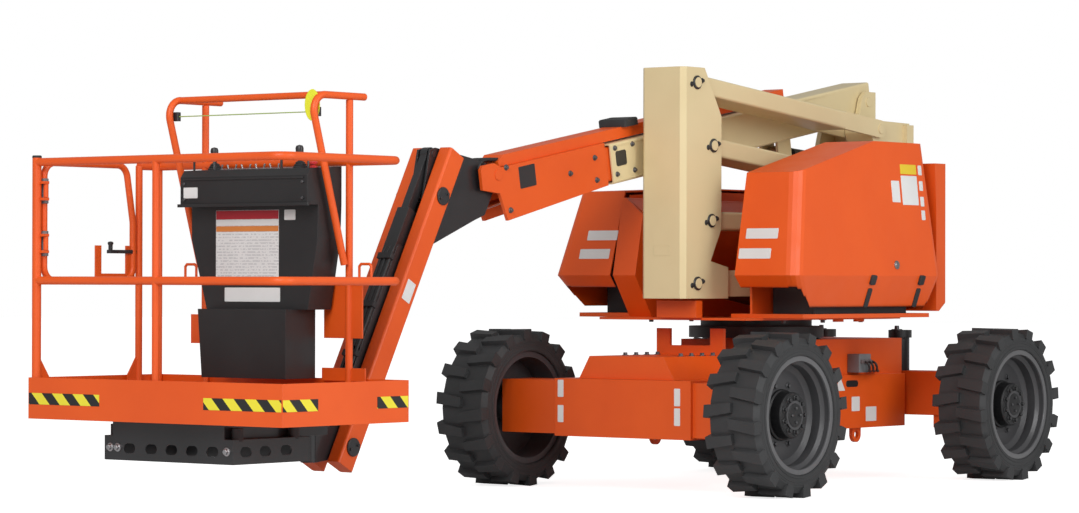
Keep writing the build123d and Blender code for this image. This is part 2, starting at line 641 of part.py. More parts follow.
def bored(pin_names, radius, y):
    """Bores through the active member at its pins."""
    for pin_name in pin_names:
        cross_rod(pins[pin_name], radius + running_gap, y - 250.0, y + 250.0, Mode.SUBTRACT)


with BuildPart() as lower_arm:
    start = pins["lower_arm_rear"]
    end = pins["lower_arm_front"]
    for y in ((tower_y - arm_half, tower_y - arm_half + 40.0),
              (tower_y + arm_half - 40.0, tower_y + arm_half)):
        bar(start, end, lower_arm_height, *y)
    for pin in (start, end):
        cross_rod(pin, 45.0, tower_y - arm_half, tower_y + arm_half)
    inner = (tower_y - arm_half + 39.0, tower_y + arm_half - 39.0)
    slant_box(start, 0.0, (160.0, 300.0), (20.0, 60.0), inner)
    slant_box(start, 0.0, (600.0, 800.0), (45.0, 60.0), inner)
    bored(("lower_arm_rear", "lower_arm_front"), pin_radius, tower_y)
save(lower_arm.part, "lower_arm")

with BuildPart() as lower_link:
    start = pins["lower_link_rear"]
    end = pins["lower_link_front"]
    beam(start, 0.0, (30.0, lower_arm_length - 30.0), (90.0, arm_width), tower_y, beam_corner)
    for pin in (start, end):
        cross_rod(pin, 45.0, tower_y - arm_half, tower_y + arm_half)
    bored(("lower_link_rear", "lower_link_front"), pin_radius, tower_y)
save(lower_link.part, "lower_link")

for name, front, rear, trim in (("upper_link", "upper_link_front", "upper_link_rear", 320.0),
                                ("second_link", "second_link_front", "second_link_rear", 270.0)):
    start = pins[front]
    end = pins[rear]
    angle = angle_between(start, end)
    length = length_between(start, end)
    half = upper_link_height / 2
    with BuildPart() as member:
        beam(start, angle, (40.0, length - trim), (upper_link_height, arm_width), tower_y, beam_corner)
        cross_rod(start, half, tower_y - arm_half, tower_y + arm_half)
        for y in ((tower_y - arm_half, tower_y - arm_half + 22.0),
                  (tower_y + arm_half - 22.0, tower_y + arm_half)):
            slant_box(start, angle, (length - trim - 20.0, length), (-half, half), y)
            cross_rod(end, half, *y)
        bored((front, rear), pin_radius, tower_y)
    save(member.part, name)

web_half = arm_half - 22.0 - side_gap
foot = pins["boom_foot"]
carrier_out = 125.0       # carrier's cheeks, from the boom's middle
carrier_plate = 28.0
with BuildPart() as boom_carrier:
    top = pins["upper_link_rear"]
    low = pins["second_link_rear"]
    side_plate(((low[0] - 60.0, low[1] - 60.0), (low[0] + 60.0, low[1] - 60.0),
                (top[0] + 55.0, top[1] - 20.0),
                (top[0] + 45.0, top[1] + 45.0), (top[0] - 60.0, top[1] + 45.0),
                (foot[0] - 70.0, top[1] + 40.0),
                (foot[0] - 70.0, low[1] - 20.0)), tower_y - web_half, tower_y + web_half)
    for pin in (top, low):
        cross_rod(pin, pin_radius, tower_y - arm_half - 4.0, tower_y + arm_half + 4.0)
    block((foot[0] - 70.0, foot[0] - 5.0), (boom_y - carrier_out, tower_y + arm_half),
          (low[1] - 60.0, top[1] + 30.0))
    for y in ((boom_y - carrier_out, boom_y - carrier_out + carrier_plate),
              (boom_y + carrier_out - carrier_plate, boom_y + carrier_out)):
        side_plate(((foot[0] - 70.0, low[1] - 60.0), (foot[0] + 160.0, low[1] + 40.0),
                    (foot[0] + 160.0, low[1] + 180.0), (foot[0] + 60.0, foot[1] + 20.0),
                    (foot[0] + 20.0, foot[1] + 55.0), (foot[0] - 70.0, foot[1] + 55.0)), *y)
    cross_rod(foot, pin_radius, boom_y - carrier_out - 5.0, boom_y + carrier_out + 5.0)
    cross_rod(pins["lift_cylinder_base"], 22.0, boom_y - carrier_out - 5.0, boom_y + carrier_out + 5.0)
save(boom_carrier.part, "boom_carrier")


# --- cylinders --------------------------------------------------------------------------------------
def cylinder_pair(name, base, eye, barrel_radius, rod_radius, y, pin, eye_half, barrel_share=0.78):
    """A barrel on its base pin, and its rod up to the eye on the other side."""
    angle = angle_between(base, eye)
    length = length_between(base, eye)
    barrel_end = length * barrel_share
    with BuildPart() as barrel:
        round_bar(along(base, angle, 10.0), along(base, angle, barrel_end), barrel_radius, y)
        cross_rod(base, pin + 18.0, y - eye_half, y + eye_half)
        round_bar(along(base, angle, 70.0), along(base, angle, barrel_end + 10.0), rod_radius + running_gap,
                  y, Mode.SUBTRACT)
        cross_rod(base, pin + running_gap, y - 200.0, y + 200.0, Mode.SUBTRACT)
    save(barrel.part, f"{name}_cylinder")
    with BuildPart() as rod:
        round_bar(along(base, angle, 75.0), eye, rod_radius, y)
        cross_rod(eye, pin + 14.0, y - eye_half, y + eye_half)
    save(rod.part, f"{name}_rod")


cylinder_pair("tower", pins["tower_cylinder_base"], pins["tower_cylinder_eye"], 40.0, 25.0, tower_y, 22.0,
              34.0)
cylinder_pair("lift", pins["lift_cylinder_base"], pins["lift_cylinder_eye"], 38.0, 22.0, boom_y, 22.0, 32.0)
cylinder_pair("jib", pins["jib_cylinder_base"], pins["jib_cylinder_eye"], 25.0, 15.0, boom_y, 18.0, 20.0)

# --- boom -------------------------------------------------------------------------------------------
base_half = (base_boom_height / 2, base_boom_width / 2)
fly_half = (fly_boom_height / 2, fly_boom_width / 2)
pads = 50.0               # half width of the slide pads
pad_length = 120.0
with BuildPart() as base_boom:
    beam(foot, boom_angle, (-70.0, base_boom_length), (base_boom_height, base_boom_width), boom_y,
         beam_corner)
    beam(foot, boom_angle, (60.0, base_boom_length + 10.0),
         (base_boom_height - 2 * base_boom_wall, base_boom_width - 2 * base_boom_wall), boom_y,
         beam_corner - base_boom_wall, Mode.SUBTRACT)
    reach = (base_boom_length - 10.0 - pad_length, base_boom_length - 10.0)
    for side in (-1, 1):
        offsets = sorted((side * (fly_half[0] + seat_gap), side * (base_half[0] - base_boom_wall + 1.0)))
        slant_box(foot, boom_angle, reach, offsets, (boom_y - pads, boom_y + pads))
        y = sorted((boom_y + side * (fly_half[1] + seat_gap),
                    boom_y + side * (base_half[1] - base_boom_wall + 1.0)))
        slant_box(foot, boom_angle, reach, (-pads, pads), y)
    for y in ((boom_y - 60.0, boom_y - 45.0), (boom_y + 45.0, boom_y + 60.0)):
        slant_box(foot, boom_angle, (680.0, 800.0), (-200.0, 1.0 - base_half[0]), y)
    bored(("boom_foot",), pin_radius, boom_y)
save(base_boom.part, "base_boom")

tip = pins["boom_tip"]
level = pins["level_rod"]
fork_in = 63.0
nose_tip = boom_pin_distance + 123.0
with BuildPart() as fly_boom:
    beam(foot, boom_angle, (fly_start, nose_start + 240.0), (fly_boom_height, fly_boom_width), boom_y,
         beam_corner)
    beam(foot, boom_angle, (fly_start - 10.0, nose_start + 250.0),
         (fly_boom_height - 2 * fly_boom_wall, fly_boom_width - 2 * fly_boom_wall), boom_y,
         beam_corner - fly_boom_wall, Mode.SUBTRACT)
    for y in ((boom_y - nose_half, boom_y - fork_in), (boom_y + fork_in, boom_y + nose_half)):
        boom_plate(((nose_start, tray_bottom - seat_gap), (nose_start, -100.0),
                    (boom_pin_distance - 40.0, -146.0),
                    (boom_pin_distance, -10.0), (nose_tip, 24.0), (nose_tip, 120.0), (nose_tip - 18.0, 138.0),
                    (boom_pin_distance + 20.0, 138.0), (boom_pin_distance - 30.0, tray_bottom - seat_gap)),
                    *y)
    inner = (boom_y - fork_in - 1.0, boom_y + fork_in + 1.0)
    boom_plate(((nose_start, tray_bottom - seat_gap), (nose_start, tray_bottom - 10.0),
                (boom_pin_distance - 130.0, tray_bottom - 10.0),
                (boom_pin_distance - 130.0, tray_bottom - seat_gap)), *inner)
    boom_plate(((nose_start, -100.0), (nose_start, -90.0), (2880.0, -120.0), (2880.0, -130.0)), *inner)
    for side in (-1, 1):
        offsets = sorted((side * (fly_half[0] - 1.0), side * (base_half[0] - base_boom_wall - seat_gap)))
        slant_box(foot, boom_angle, (fly_start + 10.0, fly_start + 10.0 + pad_length), offsets,
                  (boom_y - pads, boom_y + pads))
    cross_rod(tip, pin_radius, boom_y - nose_half - 4.0, boom_y + nose_half + 4.0)
save(fly_boom.part, "fly_boom")

tray_start = 700.0        # along the boom
tray_end = boom_pin_distance - 40.0
tray_wall = 4.0
with BuildPart() as hose_tray:
    boom_plate(((tray_start, tray_bottom), (tray_start, tray_top), (tray_end - 40.0, tray_top),
                (tray_end, tray_top - 30.0), (tray_end, tray_bottom)), boom_y - 58.0, boom_y + 58.0)
    slant_box(foot, boom_angle, (tray_start - 10.0, tray_end - 60.0),
              (tray_bottom + tray_wall, tray_top - tray_wall),
              (boom_y - 58.0 + tray_wall, boom_y + 58.0 - tray_wall), Mode.SUBTRACT)
save(hose_tray.part, "hose_tray")

with BuildPart() as level_rod:
    round_bar(along(foot, boom_angle, 2620.0, -30.0), level, 16.0, boom_y)
    cross_rod(level, 30.0, boom_y - 20.0, boom_y + 20.0)
    cross_rod(level, 16.0, boom_y - lug_in + seat_gap, boom_y + lug_in - seat_gap)
save(level_rod.part, "level_rod")

# --- jib --------------------------------------------------------------------------------------------
top = pins["jib_top"]
jib_low = pins["jib_foot"]
link_top = pins["jib_link_top"]
link_foot = pins["jib_link_foot"]
lug_y = ((boom_y - lug_half, boom_y - lug_in), (boom_y + lug_in, boom_y + lug_half))
tube_out = jib_gap / 2 + jib_tube_width       # outer face of a jib tube, from the boom's middle
with BuildPart() as jib_knuckle:
    cylinder_base = pins["jib_cylinder_base"]
    for y in lug_y:
        side_plate(((tip[0] - 35.0, tip[1] + 35.0), (tip[0] - 40.0, tip[1] - 30.0),
                    (level[0] - 20.0, level[1] - 25.0),
                    (level[0] + 55.0, level[1] - 50.0), (cylinder_base[0] - 25.0, cylinder_base[1] - 35.0),
                    (cylinder_base[0] + 30.0, cylinder_base[1] - 30.0), (top[0] + 45.0, top[1]),
                    (link_top[0] + 30.0, link_top[1] + 20.0), (link_top[0] - 10.0, link_top[1] + 30.0),
                    (tip[0] + 110.0, tip[1] + 70.0)), *y)
    cross_rod(tip, 42.0, boom_y - fork_in + side_gap, boom_y + fork_in - side_gap)
    cross_rod(tip, pin_radius + running_gap, boom_y - 100.0, boom_y + 100.0, Mode.SUBTRACT)
    block((tip[0] + 130.0, tip[0] + 250.0), (boom_y - lug_in - 1.0, boom_y + lug_in + 1.0),
          (tip[1] - 60.0, tip[1] + 40.0))
    cross_rod(top, pin_radius, boom_y - tube_out - 4.0, boom_y + tube_out + 4.0)
    cross_rod(link_top, 18.0, boom_y - lug_half - 3.0, boom_y + lug_half + 3.0)
    cross_rod(cylinder_base, 18.0, boom_y - lug_half - 3.0, boom_y + lug_half + 3.0)
save(jib_knuckle.part, "jib_knuckle")

with BuildPart() as jib_arm:
    tube_size = (jib_tube_height, jib_tube_width)
    for side in (-1, 1):
        y = boom_y + side * (tube_out - jib_tube_width / 2)
        beam(top, jib_angle, (-jib_top_reach, jib_length + jib_foot_reach), tube_size, y, beam_corner)
    for distance in (880.0, 980.0):
        slant_box(top, jib_angle, (distance, distance + 60.0), (-45.0, 10.0),
                  (boom_y - jib_gap / 2 - 1.0, boom_y + jib_gap / 2 + 1.0))
    bored(("jib_top", "jib_foot"), pin_radius, boom_y)
save(jib_arm.part, "jib_arm")

with BuildPart() as jib_link:
    slant_box(link_top, jib_angle, (0.0, jib_length), (-25.0, 25.0), (boom_y - 20.0, boom_y + 20.0))
    slant_box(link_top, jib_angle, (300.0, jib_length - 270.0), (-32.0, 32.0), (boom_y - 35.0, boom_y + 35.0))
    for pin in (link_top, link_foot):
        cross_rod(pin, 32.0, boom_y - 20.0, boom_y + 20.0)
    bored(("jib_link_top", "jib_link_foot"), 18.0, boom_y)
save(jib_link.part, "jib_link")

rotator_bottom = 250.0
rotator_top = 400.0
rotator_boss = 38.0
with BuildPart() as jib_foot:
    for y in lug_y:
        side_plate(((jib_low[0] - 40.0, jib_low[1] - 45.0), (rotator_x, rotator_bottom - 30.0),
                    (rotator_x, rotator_top - 20.0), (rotator_x - 90.0 - side_gap, rotator_top - 20.0),
                    (link_foot[0] + 38.0, link_foot[1] + 30.0), (link_foot[0] - 40.0, link_foot[1] + 30.0)),
                    *y)
    cross_rod(jib_low, pin_radius, boom_y - tube_out - 4.0, boom_y + tube_out + 4.0)
    cross_rod(link_foot, 18.0, boom_y - lug_half - 3.0, boom_y + lug_half + 3.0)
    upright_rod(rotator_x, boom_y, rotator_boss, rotator_bottom - 30.0, rotator_top - 20.0)
save(jib_foot.part, "jib_foot")

# --- platform ---------------------------------------------------------------------------------------
platform_half = platform_width / 2
platform_y = (boom_y - platform_half, boom_y + platform_half)
toe_top = platform_bottom + toe_height
sheet = 4.0
tray_x = (platform_rear_x + 220.0, platform_front_x - 100.0)
tray_z = (platform_bottom - 170.0, platform_bottom - 64.0)
with BuildPart() as platform_support:
    upright_rod(rotator_x, boom_y, 90.0, rotator_top - 20.0 + seat_gap, platform_bottom + 30.0)
    block((rotator_x, platform_rear_x + 60.0), (boom_y - 90.0, boom_y + 90.0),
          (rotator_top - 15.0, platform_bottom - side_gap))
    block((platform_rear_x + 50.0, tray_x[1]), (boom_y - 330.0, boom_y + 330.0),
          (tray_z[1] - 1.0, platform_bottom - seat_gap))
    block((platform_rear_x + 56.0, tray_x[1] - 6.0), (boom_y - 324.0, boom_y + 324.0),
          (tray_z[1] - 10.0, platform_bottom - 15.0), Mode.SUBTRACT)
    block(tray_x, (boom_y - 380.0, boom_y + 380.0), tray_z)
    block((tray_x[0] + 6.0, tray_x[1] - 6.0), (boom_y - 374.0, boom_y + 374.0),
          (tray_z[0] - 5.0, tray_z[1] - 6.0), Mode.SUBTRACT)
    slot_z = (tray_z[0] + tray_z[1]) / 2
    with BuildSketch(Plane.YZ.offset(tray_x[1] - 10.0), mode=Mode.PRIVATE) as slots:
        for offset in (-230.0, -100.0, 20.0, 140.0, 260.0):
            with Locations((boom_y + offset, slot_z)):
                SlotOverall(70.0, 42.0)
    extrude(slots.sketch, amount=20.0, mode=Mode.SUBTRACT)
    for x in (tray_x[0] + 150.0, tray_x[0] + 280.0, tray_x[0] + 400.0):
        bar((x - 14.0, slot_z), (x + 14.0, slot_z), 42.0, boom_y + 370.0, boom_y + 390.0, Mode.SUBTRACT)
save(platform_support.part, "platform_support")

with BuildPart() as platform_floor:
    block((platform_rear_x, platform_front_x), platform_y, (platform_bottom, toe_top))
    block((platform_rear_x + sheet, platform_front_x - sheet), (platform_y[0] + sheet, platform_y[1] - sheet),
          (platform_bottom + 20.0, toe_top + 1.0), Mode.SUBTRACT)
save(platform_floor.part, "platform_floor")

inset = sheet + post_radius + seat_gap
rail_x = (platform_rear_x + inset, platform_front_x - inset)
rail_y = (platform_y[0] + inset, platform_y[1] - inset)
rail_z = rail_top - post_radius
post_base = platform_bottom + 20.0 + seat_gap
guard_y = (boom_y - guard_half, boom_y + guard_half)
gate_post_x = rail_x[0] + 122.0
gate_hinge = (rail_x[1] - 24.0, rail_y[0] + 32.0)
gate_hinge_z = (1190.0, 1420.0)
gate_pin = 6.0
with BuildPart() as platform_rails:
    for x, y in ((rail_x[1], rail_y[0]), (rail_x[0], rail_y[0])):
        upright_rod(x, y, post_radius, post_base, rail_top)
    for x, y in ((rail_x[1], boom_y), (gate_post_x, rail_y[0])):
        upright_rod(x, y, stile_radius, post_base, rail_z)
    for y in guard_y:
        upright_rod(rail_x[0], y, stile_radius, post_base, guard_top - guard_radius - seat_gap)
    for z in (mid_z, rail_z):
        bent_tube([(rail_x[0], rail_y[0], z), (rail_x[0], rail_y[1], z), (rail_x[1], rail_y[1], z),
                   (rail_x[1], rail_y[0], z)], tube_radius)
        bent_tube([(gate_post_x, rail_y[0], z), (rail_x[0], rail_y[0], z)], tube_radius)
    for x, reach in ((rail_x[1] - stile_radius, -60.0), (gate_post_x + 12.0, 60.0)):
        side_plate(((x, toe_top + 90.0), (x, toe_top - 40.0), (x + reach, toe_top - 40.0),
                    (x + reach, toe_top)),
                   rail_y[0] - 3.0, rail_y[0] + 3.0)
    for y, z in (((guard_y[0] - 84.0, guard_y[0] + 64.0), (748.0, 878.0)),
                 ((guard_y[1] - 142.0, guard_y[1] + 78.0), (780.0, mid_z)),
                 ((guard_y[1] - 154.0, guard_y[1] + 95.0), (toe_top - 10.0, toe_top + 46.0))):
        block((rail_x[0] - 4.0, rail_x[0] + 4.0), y, z)
    for z in gate_hinge_z:
        upright_rod(*gate_hinge, gate_pin, z - 42.0, z + 42.0)
        for z_low in (z - 42.0, z + 30.0):
            flat_plate(((rail_x[1], rail_y[0]), (rail_x[1], gate_hinge[1] + 10.0),
                        (gate_hinge[0] - 10.0, gate_hinge[1] + 10.0),
                        (gate_hinge[0] - 10.0, gate_hinge[1] - 8.0), (rail_x[1] - 15.0, rail_y[0])), z_low,
                        z_low + 12.0)
save(platform_rails.part, "platform_rails")

guard_foot_x = rail_x[0] + stile_radius + guard_radius + seat_gap
guard_front_x = rail_x[0] + 255.0
with BuildPart() as overhead_guard:
    for y in guard_y:
        bent_tube([(guard_foot_x, y, 1100.0), (guard_front_x, y, guard_top),
                   (rail_x[0] - 98.0, y, guard_top)], guard_radius, 70.0)
    bent_tube([(guard_front_x - 90.0, guard_y[0], guard_top),
               (guard_front_x - 90.0, guard_y[1], guard_top)], guard_radius - 1.0)
save(overhead_guard.part, "overhead_guard")

gate_gap = 8.0
gate_radius = 15.0
gate_y = rail_y[0]
with BuildPart() as gate:
    x_low = gate_post_x + stile_radius + gate_gap + gate_radius
    x_high = rail_x[1] - post_radius - gate_gap - gate_radius
    bent_tube([(x_high, gate_y, 1300.0), (x_high, gate_y, rail_z), (x_low + 45.0, gate_y, rail_z),
               (x_low, gate_y, 1290.0),
               (x_low, gate_y, 1150.0)], gate_radius, 62.0)
    bent_tube([(x_high, gate_y, 1300.0), (x_high, gate_y, mid_z), (x_low, gate_y, mid_z),
               (x_low, gate_y, 1150.0)],
              gate_radius, 62.0)
    side_plate(((x_low - 10.0, mid_z), (x_low + 235.0, mid_z), (x_low + 235.0, 1185.0),
                (x_low + 200.0, 1185.0),
                (x_low + 200.0, 1060.0), (x_low + 45.0, 1060.0), (x_low + 45.0, 1185.0), (x_low, 1185.0)),
               gate_y - 4.0, gate_y + 4.0)
    for z in gate_hinge_z:
        upright_rod(*gate_hinge, 11.0, z - 29.0, z + 29.0)
        flat_plate(((x_high, gate_y), (x_high + 6.0, gate_y), (gate_hinge[0] + 4.0, gate_hinge[1]),
                    (gate_hinge[0] - 9.0, gate_hinge[1] + 4.0), (x_high - 8.0, gate_y + 8.0)), z - 29.0,
                    z + 29.0)
        upright_rod(*gate_hinge, gate_pin + running_gap, z - 40.0, z + 40.0, Mode.SUBTRACT)
save(gate.part, "gate")

console_x = (rail_x[0] + tube_radius + seat_gap, rail_x[0] + 241.0)
console_y = (boom_y - 351.0, boom_y + 401.0)
console_z = (905.0, 1210.0, 1357.0, 1514.0)      # foot box's top, taper's top, head's bottom and top
with BuildPart() as control_console:
    side_plate(((console_x[0], console_z[2] - 1.0), (console_x[1], console_z[2]),
                (console_x[1], console_z[3] - 30.0),
                (console_x[1] - 25.0, console_z[3]), (console_x[0], console_z[3] + 12.0)), *console_y)
    with BuildSketch(Plane.YZ.offset(console_x[0]), mode=Mode.PRIVATE) as body:
        with BuildLine():
            Polyline((console_y[0], console_z[2]), (console_y[0], console_z[1]),
                     (console_y[0] + 92.0, console_z[0] - 1.0),
                     (console_y[1] - 60.0, console_z[0] - 1.0), (console_y[1] - 6.0, console_z[1]),
                     (console_y[1], console_z[2]), close=True)
        make_face()
    extrude(body.sketch, amount=150.0)
    with BuildSketch(Plane.YZ.offset(console_x[0] + 30.0), mode=Mode.PRIVATE) as body:
        with BuildLine():
            Polyline((boom_y - 244.0, console_z[0]), (boom_y - 220.0, toe_top), (boom_y + 277.0, toe_top),
                     (boom_y + 277.0, console_z[0]), close=True)
        make_face()
    extrude(body.sketch, amount=console_x[1] - console_x[0] - 30.0)
save(control_console.part, "control_console")
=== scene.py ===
"""The looks of an articulating boom lift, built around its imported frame.

Metres, +X to the platform, +Y to the machine's left side, +Z up, as in the frame.
"""
import json
import math

import bmesh
import bpy
from mathutils import Matrix, Vector


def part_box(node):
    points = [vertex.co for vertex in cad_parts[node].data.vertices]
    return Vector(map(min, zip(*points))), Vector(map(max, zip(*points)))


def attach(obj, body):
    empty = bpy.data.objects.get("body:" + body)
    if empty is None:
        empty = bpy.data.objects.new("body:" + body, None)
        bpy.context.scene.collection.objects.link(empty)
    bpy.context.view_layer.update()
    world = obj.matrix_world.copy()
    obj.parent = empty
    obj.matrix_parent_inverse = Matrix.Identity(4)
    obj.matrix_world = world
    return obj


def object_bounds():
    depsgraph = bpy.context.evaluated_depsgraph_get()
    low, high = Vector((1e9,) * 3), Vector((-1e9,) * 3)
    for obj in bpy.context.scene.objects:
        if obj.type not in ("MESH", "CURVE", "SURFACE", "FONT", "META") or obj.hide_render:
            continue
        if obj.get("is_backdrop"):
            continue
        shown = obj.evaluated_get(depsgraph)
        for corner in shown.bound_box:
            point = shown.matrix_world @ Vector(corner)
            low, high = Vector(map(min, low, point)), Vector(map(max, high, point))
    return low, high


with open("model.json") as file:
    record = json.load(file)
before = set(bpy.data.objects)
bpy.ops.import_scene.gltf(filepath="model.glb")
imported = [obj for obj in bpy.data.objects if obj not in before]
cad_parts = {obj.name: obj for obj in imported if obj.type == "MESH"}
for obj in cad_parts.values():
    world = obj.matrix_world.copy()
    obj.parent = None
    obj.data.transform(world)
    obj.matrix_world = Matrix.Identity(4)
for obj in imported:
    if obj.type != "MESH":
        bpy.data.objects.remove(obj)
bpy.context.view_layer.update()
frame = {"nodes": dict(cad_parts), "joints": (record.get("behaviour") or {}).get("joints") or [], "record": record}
nodes = frame["nodes"]
joints = {joint["name"]: joint for joint in frame["joints"]}
X, Y, Z = Vector((1, 0, 0)), Vector((0, 1, 0)), Vector((0, 0, 1))


def pin(name):
    """A hinge's place."""
    return Vector(joints[name]["pos_m"])


swing = pin("swing")
both_sides = ((1, "left"), (-1, "right"))


# --- camera -----------------------------------------------------------------------------------------
def make_camera():
    """The camera stands about a metre above the ground, off the left front corner."""
    place = Vector((swing.x + 14.9413, 10.408, 1.029))
    yaw, pitch, roll = -2.472, 0.007, 0.002
    direction = Vector((math.cos(yaw) * math.cos(pitch), math.sin(yaw) * math.cos(pitch), math.sin(pitch)))
    data = bpy.data.cameras.new("camera")
    data.lens = 118.1
    data.sensor_width = 36.0
    camera = bpy.data.objects.new("camera", data)
    camera.matrix_world = (Matrix.Translation(place) @ direction.to_track_quat("-Z", "Y").to_matrix().to_4x4()
                           @ Matrix.Rotation(roll, 4, "Z"))
    bpy.context.collection.objects.link(camera)
    bpy.context.scene.camera = camera


make_camera()


# --- materials --------------------------------------------------------------------------------------
def noise(tree, coordinates, scale, detail=3.0, roughness=0.5):
    """A noise value over the surface."""
    texture = tree.nodes.new("ShaderNodeTexNoise")
    texture.inputs["Scale"].default_value = scale
    texture.inputs["Detail"].default_value = detail
    texture.inputs["Roughness"].default_value = roughness
    tree.links.new(coordinates, texture.inputs["Vector"])
    return texture.outputs["Fac"]


def ramp(tree, value, low, high, low_value=0.0, high_value=1.0):
    """Maps a value from one range to another, held at both ends."""
    mapping = tree.nodes.new("ShaderNodeMapRange")
    mapping.inputs["From Min"].default_value = low
    mapping.inputs["From Max"].default_value = high
    mapping.inputs["To Min"].default_value = low_value
    mapping.inputs["To Max"].default_value = high_value
    tree.links.new(value, mapping.inputs["Value"])
    return mapping.outputs["Result"]


def arithmetic(tree, operation, *values):
    """A number worked out from sockets and numbers."""
    node = tree.nodes.new("ShaderNodeMath")
    node.operation = operation
    for socket, value in zip(node.inputs, values):
        if isinstance(value, bpy.types.NodeSocket):
            tree.links.new(value, socket)
        else:
            socket.default_value = value
    return node.outputs["Value"]


def along_line(tree, coordinates, direction):
    """The distance along a direction, in metres."""
    node = tree.nodes.new("ShaderNodeVectorMath")
    node.operation = "DOT_PRODUCT"
    tree.links.new(coordinates, node.inputs[0])
    node.inputs[1].default_value = direction
    return node.outputs["Value"]


def mixed(tree, factor, first, second):
    """A colour between two colours or sockets."""
    mix = tree.nodes.new("ShaderNodeMix")
    mix.data_type = "RGBA"
    tree.links.new(factor, mix.inputs["Factor"])
    for socket, colour in ((mix.inputs[6], first), (mix.inputs[7], second)):
        if isinstance(colour, bpy.types.NodeSocket):
            tree.links.new(colour, socket)
        else:
            socket.default_value = (*colour, 1.0)
    return mix.outputs[2]


edge_round = 0.003
wear = 0.25


def finish_material(name, colour, dark, roughness, grain, grain_depth, metallic, coat, edge=0.0,
                    pattern=None):
    """A procedural finish: cloudy colour, uneven gloss, a fine grain, softened and faintly worn edges."""
    material = bpy.data.materials.new(name)
    material.use_nodes = True
    tree = material.node_tree
    shader = tree.nodes["Principled BSDF"]
    place = tree.nodes.new("ShaderNodeTexCoord").outputs["Object"]
    cloud = ramp(tree, noise(tree, place, 3.0), 0.35, 0.7)
    base = mixed(tree, cloud, colour, dark)
    if pattern:
        base = pattern(tree, place, base)
    bevel = tree.nodes.new("ShaderNodeBevel")
    bevel.samples = 4
    bevel.inputs["Radius"].default_value = edge_round
    if edge:
        geometry = tree.nodes.new("ShaderNodeNewGeometry")
        turn = tree.nodes.new("ShaderNodeVectorMath")
        turn.operation = "DOT_PRODUCT"
        tree.links.new(bevel.outputs["Normal"], turn.inputs[0])
        tree.links.new(geometry.outputs["Normal"], turn.inputs[1])
        chips = ramp(tree, noise(tree, place, 60.0, 5.0, 0.7), 0.5, 0.62)
        rubbed = ramp(tree, turn.outputs["Value"], 0.985, 0.93, 0.0, edge)
        base = mixed(tree, arithmetic(tree, "MULTIPLY", chips, rubbed), base,
                     tuple(0.6 * part + 0.15 for part in colour))
    tree.links.new(base, shader.inputs["Base Color"])
    gloss = ramp(tree, noise(tree, place, 8.0), 0.3, 0.7, roughness - 0.05, roughness + 0.07)
    tree.links.new(gloss, shader.inputs["Roughness"])
    shader.inputs["Metallic"].default_value = metallic
    shader.inputs["Coat Weight"].default_value = coat
    shader.inputs["Coat Roughness"].default_value = 0.12
    bump = tree.nodes.new("ShaderNodeBump")
    bump.inputs["Strength"].default_value = 0.35
    bump.inputs["Distance"].default_value = grain_depth
    tree.links.new(noise(tree, place, grain, 4.0), bump.inputs["Height"])
    tree.links.new(bevel.outputs["Normal"], bump.inputs["Normal"])
    tree.links.new(bump.outputs["Normal"], shader.inputs["Normal"])
    return material


def repeats(tree, coordinates, direction, pitch):
    """A value that climbs from 0 to 1 in each pitch along a direction."""
    distance = along_line(tree, coordinates, direction)
    return arithmetic(tree, "FRACT", arithmetic(tree, "DIVIDE", distance, pitch))


def stripes(direction, pitch=0.127, second=(0.012, 0.012, 0.012)):
    """Slanted bands of a second colour, measured along a direction."""
    def pattern(tree, place, base):
        return mixed(tree, ramp(tree, repeats(tree, place, direction, pitch), 0.495, 0.505), base, second)
    return pattern


def printed_rows(pitch=0.013, second=(0.42, 0.42, 0.44)):
    """Faint rows of grey, as a sheet of fine print looks from far off."""
    def pattern(tree, place, base):
        row = repeats(tree, place, Z, pitch)
        ragged = noise(tree, place, 90.0, 1.0)
        mark = arithmetic(tree, "MULTIPLY", arithmetic(tree, "GREATER_THAN", row, 0.55),
                          arithmetic(tree, "GREATER_THAN", ragged, 0.47))
        return mixed(tree, arithmetic(tree, "MULTIPLY", mark, 0.6), base, second)
    return pattern


